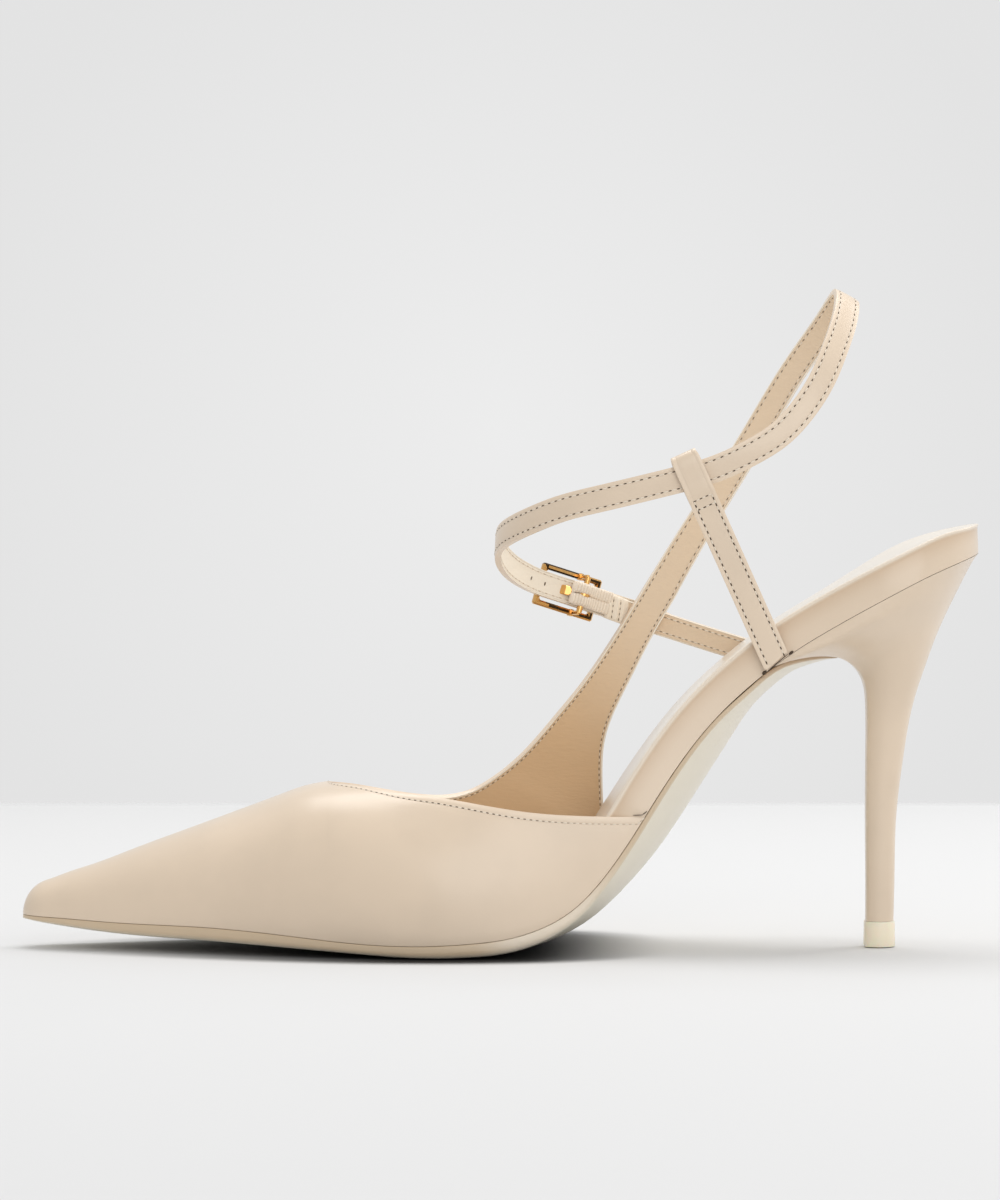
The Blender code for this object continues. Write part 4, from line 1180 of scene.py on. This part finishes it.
# folded end of that strap, which holds the elastic
tabShape = {
    "ahead": 0.2,
    "wider": 0.12,
    "shift": 1.15,
    "slope": 0.65,
    "seams": (1.7, 3.8),
    "seamHalf": 2.7,
    # along, half thickness
    "fold": [(0.0, 0.7), (0.35, 1.25), (1.1, 1.35), (1.7, 1.05), (2.5, 1.45), (3.2, 1.4), (3.8, 1.05),
             (4.6, 1.2), (5.4, 1.0), (6.2, 0.8)],
}
foldLine = spline(tabShape["fold"])
turn = np.linspace(0.0, 2 * math.pi, 41)[:-1]
wide = signed(np.cos(turn), 0.35)
thick = signed(np.sin(turn), 0.6)
rings = []
for a in np.linspace(0.0, tabShape["fold"][-1][0], 50):
    past = a - tabShape["ahead"]
    middle, along, across, out, half = strapAt(outerCurve, max(past, 0.0))
    middle = middle + along * min(past, 0.0)
    ring = middle + np.outer(wide * (half + tabShape["wider"]), across)
    ring += np.outer(thick * foldLine(a)[1], out)
    rings.append(ring - np.outer(tabShape["shift"] + tabShape["slope"] * wide, along))
tab = tube("foldedTab", rings)
mark(tab, "edge", np.full(len(tab.data.vertices), 3.0))
mark(tab, "pale", np.full(len(tab.data.vertices), 0.9))
done(tab, [lining])
for a in tabShape["seams"]:
    middle, along, across, out, half = strapAt(outerCurve, a - tabShape["ahead"])
    depth = foldLine(a)[1] + 0.02
    path = []
    for w in np.linspace(-tabShape["seamHalf"], tabShape["seamHalf"], 10):
        back = tabShape["shift"] + tabShape["slope"] * w / half
        path.append(middle + across * w - out * depth - along * back)
    sewOn(np.array(path), np.repeat(-out[None], 10, axis=0), 1.3, wide=0.18, tall=0.1, faint=0.3)

# buckle, modelled flat in its own axes and then laid on the strap
buckleShape = {
    "front": -4.8,
    "rear": 10.7,
    "rail": 4.75,
    "bar": 1.45,
    "thick": 1.6,
    "out": 2.2,
    "collar": 5.4,
    "collarSize": (0.95, 1.8, 2.0),
    "legSize": (0.8, 1.1),
    "edge": 0.4,
    "pinAlong": 5.3,
    "pinOut": -3.25,
    "pinRadius": 0.75,
    "eye": 1.1,
    "prongHalf": 1.2,
    "eyeHalf": 0.5,
    "prongShoulder": (1.9, 2.6),
    # half thickness at the middle and at the edges, and the width of the slope between
    "prongThick": (0.5, 0.3, 0.2),
    # along, out
    "prong": [(2.4, -1.66), (1.1, -1.2), (-0.9, 1.2), (-2.0, 2.5), (-4.4, 3.8), (-6.0, 3.75)],
    # places along where the bars are cut and the painted dark reflection on them changes
    "cuts": (-4.0, -1.2, 4.6, 6.3),
}
bucklePlace = strapAt(strapCurve, holeKey)
buckleMatrix = Matrix.Identity(4)
for column, way in enumerate(bucklePlace[1:4]):
    for k in range(3):
        buckleMatrix[k][column] = way[k]
for k, value in enumerate(toWorld(bucklePlace[0])):
    buckleMatrix[k][3] = value


def layOnStrap(piece):
    pick(piece)
    piece.matrix_world = buckleMatrix @ piece.matrix_world
    bpy.ops.object.transform_apply(location=True, rotation=True, scale=True)
    return weld(piece)  # the strap's axes are left handed, so the faces are turned back


def block(center, size, bevel):
    bpy.ops.mesh.primitive_cube_add(size=1.0)
    piece = settled([s * mm for s in size], [c * mm for c in center])
    modify(piece, "BEVEL", width=bevel * mm, segments=2, limit_method="ANGLE")
    dress(piece, [goldMat])
    return piece


def isDark(face):
    # painted reflection: some faces of the polished bars are painted near black, standing for a dark room
    # mirrored in them
    a, w = (face.center / mm)[:2]
    facing = face.normal.z
    if a > buckleShape["cuts"][3]:
        return facing < -0.9
    if w > 0:
        return a < buckleShape["cuts"][0] or (abs(facing) < 0.9 and a < buckleShape["cuts"][2])
    return facing < -0.9 and buckleShape["cuts"][1] < a < buckleShape["cuts"][2]


bar = buckleShape["bar"]
rear, front, outward = buckleShape["rear"], buckleShape["front"], buckleShape["out"]
bpy.ops.mesh.primitive_plane_add(size=1.0)
hoop = settled(((rear - front + bar) * mm, (2 * buckleShape["rail"] + bar) * mm, 1.0),
               ((rear + front) / 2 * mm, 0.0, outward * mm))
bpy.ops.object.mode_set(mode="EDIT")
bpy.ops.mesh.select_all(action="SELECT")
bpy.ops.mesh.inset(thickness=bar * mm, depth=0.0)
bpy.ops.mesh.delete(type="FACE")
bpy.ops.object.mode_set(mode="OBJECT")
modify(hoop, "SOLIDIFY", thickness=buckleShape["thick"] * mm, offset=0.0)
modify(hoop, "BEVEL", width=buckleShape["edge"] * mm, segments=1, limit_method="ANGLE",
       angle_limit=math.radians(50))
pick(hoop)
bpy.ops.object.mode_set(mode="EDIT")
for cut in buckleShape["cuts"]:
    bpy.ops.mesh.select_all(action="SELECT")
    bpy.ops.mesh.bisect(plane_co=(cut * mm, 0.0, 0.0), plane_no=(1.0, 0.0, 0.0))
bpy.ops.object.mode_set(mode="OBJECT")
# painted reflection: the picked faces take the near-black gold
dress(hoop, [goldMat, darkGold])
for face in hoop.data.polygons:
    face.material_index = 1 if isDark(face) else 0
pinAlong = buckleShape["pinAlong"]
pieces = [hoop]
for side in (-1, 1):
    rail = side * buckleShape["rail"]
    pieces.append(block((buckleShape["collar"], rail, outward), buckleShape["collarSize"], 0.18))
    leg = outward - buckleShape["pinOut"]
    pieces.append(block((pinAlong, rail, outward - leg / 2), (*buckleShape["legSize"], leg), 0.2))
bpy.ops.mesh.primitive_cylinder_add(vertices=20, radius=buckleShape["pinRadius"] * mm,
                                    depth=2 * buckleShape["rail"] * mm, rotation=(math.pi / 2, 0.0, 0.0),
                                    location=(pinAlong * mm, 0.0, buckleShape["pinOut"] * mm))
bpy.ops.object.transform_apply(location=True, rotation=True, scale=True)
dress(bpy.context.object, [goldMat])
pieces.append(bpy.context.object)
hoop = layOnStrap(joined("buckleHoop", pieces))
done(hoop, (), ("buckle_frame",), angle=25)


def inBuckle(points):
    middle, along, across, out, half = bucklePlace
    return middle + np.array(points) @ np.array([along, across, out])


prongPath = []
for degrees in range(-150, 76, 15):
    turn = math.radians(degrees)
    eye = buckleShape["eye"]
    prongPath.append((pinAlong + eye * math.cos(turn), buckleShape["pinOut"] + eye * math.sin(turn)))
prongPath = np.array(prongPath + buckleShape["prong"])
prongLength = runLength(prongPath)
rings = []
for key in np.linspace(0.0, prongLength[-1], 70):
    a, f = pointAt(key, prongLength, prongPath)
    way = unit(pointAt(key + 0.5, prongLength, prongPath) - pointAt(key - 0.5, prongLength, prongPath))
    narrow = ease(a, *buckleShape["prongShoulder"])
    wide = buckleShape["eyeHalf"] + (buckleShape["prongHalf"] - buckleShape["eyeHalf"]) * (1 - narrow)
    middle, edge, slope = buckleShape["prongThick"]
    flat = wide - slope
    corner = [(wide, edge), (flat, middle), (-flat, middle), (-wide, edge)]
    corner += [(-w, -t) for w, t in corner]
    rings.append(inBuckle([(a - way[1] * t, w, f + way[0] * t) for w, t in corner]))
prong = tube("bucklePin", rings)
done(prong, [goldMat], ("buckle_prong",), angle=25)

# ribbed elastic in two lobes either side of the prong, with painted shade in the grooves between the ribs
elasticShape = {
    "start": 2.2,
    "end": 13.4,
    "half": 3.0,
    "ribPitch": 0.8,
    "ribDepth": 0.16,
    "slitHalf": 0.03,
    "slitWave": 0.1,
    "slitTurn": 2.1,
    "slitEnd": (5.5, 8.0),
    # past the slit the lobes run into each other
    "overlap": 0.1,
    "overlapEnd": (6.0, 8.0),
    "corner": 0.45,
    # along, middle out, half thickness
    "rows": [(2.2, -3.25, 1.1), (2.3, -3.25, 1.45), (2.6, -3.3, 1.65), (3.2, -3.3, 1.75), (4.3, -3.3, 1.85),
             (5.6, -3.2, 1.9), (7.2, -2.8, 1.5), (9.0, -2.35, 1.05), (11.0, -2.25, 0.95), (13.4, -2.2, 0.95)],
}
elasticLine = spline(elasticShape["rows"])
lobes = []
for side in (-1, 1):
    rings = []
    grooves = []
    for a in np.linspace(elasticShape["start"], elasticShape["end"], 140):
        row = elasticLine(a)
        ridge = abs(math.sin(math.pi * (a - elasticShape["start"] + 0.3) / elasticShape["ribPitch"]))
        wave = elasticShape["ribDepth"] * (ridge - 1)
        swing = math.sin(elasticShape["slitTurn"] * a) * (1 - ease(a, *elasticShape["slitEnd"]))
        low = elasticShape["slitHalf"] + side * elasticShape["slitWave"] * swing
        low -= elasticShape["overlap"] * ease(a, *elasticShape["overlapEnd"])
        high = elasticShape["half"] + 0.4 * wave
        high -= softCorner(a - elasticShape["start"], elasticShape["corner"])
        turn = np.linspace(0.0, 2 * math.pi, 29)[:-1]
        w = side * ((low + high) / 2 + (high - low) / 2 * signed(np.cos(turn), 0.6))
        f = row[1] + (row[2] + wave) * signed(np.sin(turn), 0.7)
        rings.append(inBuckle(np.stack([np.full(len(turn), a), w, f], axis=1)))
        # painted shade: darkest in the grooves between the ribs
        grooves.append(0.4 * (1 - ridge) ** 2)
    lobes.append(tube("lobe", rings, groove=grooves))
elastic = joined("elasticLoop", lobes)
done(elastic, [ribMat], ("buckle_elastic",), angle=60)
print("buckle made")

# painted shadow: dark beads beside the foot of the stay and a dark line over the end of the vamp stand for
# the shade in the gaps there
pits = [
    # place, the way it runs, half size
    ((184.55, -22.9, 69.6), (0.79, 0.0, 0.61), (0.7, 0.5, 0.45)),
    ((191.1, -23.3, 74.5), (0.79, 0.0, 0.61), (0.7, 0.4, 0.4)),
    ((187.9, -23.4, 72.2), (0.77, 0.0, 0.64), (3.4, 0.3, 0.12)),
    ((153.4, -24.8, 34.62), (1.0, 0.0, 0.03), (1.3, 0.25, 0.11)),
    ((155.1, -24.4, 35.1), (0.8, 0.0, 0.6), (0.75, 0.25, 0.11)),
]
for place, way, size in pits:
    way = unit(way)
    side = unit(np.cross(way, (0.0, 1.0, 0.0)))
    pinholes.append((np.array(place), np.array([way, np.cross(side, way), side]), size, 0.0))


def scatter(name, places, made):
    # one mesh of small beads, each with its own place, turn and size
    bpy.ops.mesh.primitive_uv_sphere_add(segments=8, ring_count=5, radius=1.0)
    bead = bpy.context.object
    points = np.array([v.co for v in bead.data.vertices])
    faces = [tuple(p.vertices) for p in bead.data.polygons]
    bpy.data.objects.remove(bead, do_unlink=True)
    every = []
    allFaces = []
    for i, (middle, axes, size, tone) in enumerate(places):
        every.append(middle + (points * np.array(size)) @ axes)
        allFaces += [tuple(k + i * len(points) for k in face) for face in faces]
    mesh = bpy.data.meshes.new(name)
    mesh.from_pydata(toWorld(np.concatenate(every)).tolist(), [], allFaces)
    piece = bpy.data.objects.new(name, mesh)
    bpy.context.scene.collection.objects.link(piece)
    mark(piece, "faint", np.repeat([place[3] for place in places], len(points)))
    return done(piece, [made], angle=80)


scatter("threads", stitches, threadMat)
scatter("needleHoles", pinholes, holeMat)
print(len(stitches), "stitches")

# floor that ends in a soft line in front of the backdrop
floorShape = {"front": -6.0, "back": 0.53, "side": 4.0, "fade": 0.03, "tone": 0.68}
bpy.ops.mesh.primitive_plane_add(size=1.0)
floor = settled((2 * floorShape["side"], floorShape["back"] - floorShape["front"], 1.0),
                (0.0, (floorShape["back"] + floorShape["front"]) / 2, -0.0002))
floor.name = "floor"
paper = (floorShape["tone"],) * 3
floorMat, tree, shader = newMaterial("floorPaper", paper, 0.8, Specular_IOR_Level=0.15)
spot = addNode(tree, "ShaderNodeTexCoord")
parts = addNode(tree, "ShaderNodeSeparateXYZ")
tree.links.new(spot.outputs["Object"], parts.inputs["Vector"])
# painted contact shadow: occlusion darkens the floor colour, most where the ball of the sole stands
contact = {"near": 0.03, "stops": [(0.68, 1.0), (0.82, 0.0)], "ends": ((-0.13, -0.02), (0.045, 0.005))}
nook = addNode(tree, "ShaderNodeAmbientOcclusion", {"samples": 32}, Distance=contact["near"])
shade = ramp(tree, nook.outputs["AO"], contact["stops"], "EASE")
for first, last in contact["ends"]:
    reach = mapRange(tree, parts.outputs["X"], first, last, 0.0, 1.0, "SMOOTHSTEP")
    shade = math2(tree, "MULTIPLY", shade, reach)
tree.links.new(mixColor(tree, shade, paper, (0.02, 0.02, 0.02)), shader.inputs["Base Color"])
fadeStart = floorShape["back"] - floorShape["fade"]
soft = mapRange(tree, parts.outputs["Y"], fadeStart, floorShape["back"], 1.0, 0.0, "SMOOTHSTEP")
tree.links.new(soft, shader.inputs["Alpha"])
floor.data.materials.append(floorMat)

# light: the backdrop is palest in its middle, and the room in front is a little darker
backdrop = {"middle": 0.845, "edge": 0.77, "spread": 0.105, "room": 0.94, "roomEnds": (-0.7, 0.5)}
world = bpy.data.worlds.new("studio")
bpy.context.scene.world = world
world.use_nodes = True
sky = world.node_tree.nodes["Background"]
sky.inputs["Color"].default_value = (1.0, 1.0, 1.0, 1.0)
studio = world.node_tree
heading = addNode(studio, "ShaderNodeTexCoord")
parts = addNode(studio, "ShaderNodeSeparateXYZ")
studio.links.new(heading.outputs["Generated"], parts.inputs["Vector"])
sideways = math2(studio, "MULTIPLY", parts.outputs["X"], parts.outputs["X"])
upwards = math2(studio, "MULTIPLY", parts.outputs["Z"], parts.outputs["Z"])
fromMiddle = math2(studio, "POWER", math2(studio, "ADD", sideways, upwards), 0.5)
falling = mapRange(studio, fromMiddle, 0.0, backdrop["spread"], backdrop["middle"], backdrop["edge"])
behind = mapRange(studio, parts.outputs["Y"], *backdrop["roomEnds"], backdrop["room"], 1.0, "SMOOTHSTEP")
strength = math2(studio, "MULTIPLY", falling, behind)
studio.links.new(strength, sky.inputs["Strength"])

lights = {
    # place, aimed at, width, height, watts
    "overhead": ((0.05, 0.25, 1.05), (0.0, 0.0, 0.05), 1.0, 0.6, 5.9),
    "right": ((1.00, 0.45, 0.60), (0.05, 0.0, 0.07), 0.7, 0.8, 2.9),
    "front": ((0.50, -1.30, 0.55), (0.0, 0.0, 0.05), 1.2, 0.9, 5.4),
}
for name, (place, aim, wide, tall, watts) in lights.items():
    lamp = bpy.data.lights.new(name, "AREA")
    lamp.shape = "RECTANGLE"
    lamp.size = wide
    lamp.size_y = tall
    lamp.energy = watts
    holder = bpy.data.objects.new(name, lamp)
    holder.location = place
    holder.rotation_euler = (Vector(aim) - Vector(place)).to_track_quat("-Z", "Y").to_euler()
    bpy.context.scene.collection.objects.link(holder)

# camera where the photo was taken from
view = {"focus": 5432.0, "horizon": 427.0, "height": 0.130, "back": -1.359, "pixels": 1200.0, "sensor": 36.0}
lens = bpy.data.cameras.new("photoCamera")
lens.sensor_fit = "VERTICAL"
lens.sensor_height = view["sensor"]
lens.sensor_width = view["sensor"]
lens.lens = view["focus"] * view["sensor"] / view["pixels"]
lens.clip_end = 50.0
camera = bpy.data.objects.new("photoCamera", lens)
camera.location = (0.0, view["back"], view["height"])
pitch = math.atan((view["pixels"] / 2 - view["horizon"]) / view["focus"])
camera.rotation_euler = (math.pi / 2 - pitch, 0.0, 0.0)
bpy.context.scene.collection.objects.link(camera)
bpy.context.scene.camera = camera
bpy.context.scene.view_settings.view_transform = "Standard"
bpy.context.scene.view_settings.look = "None"
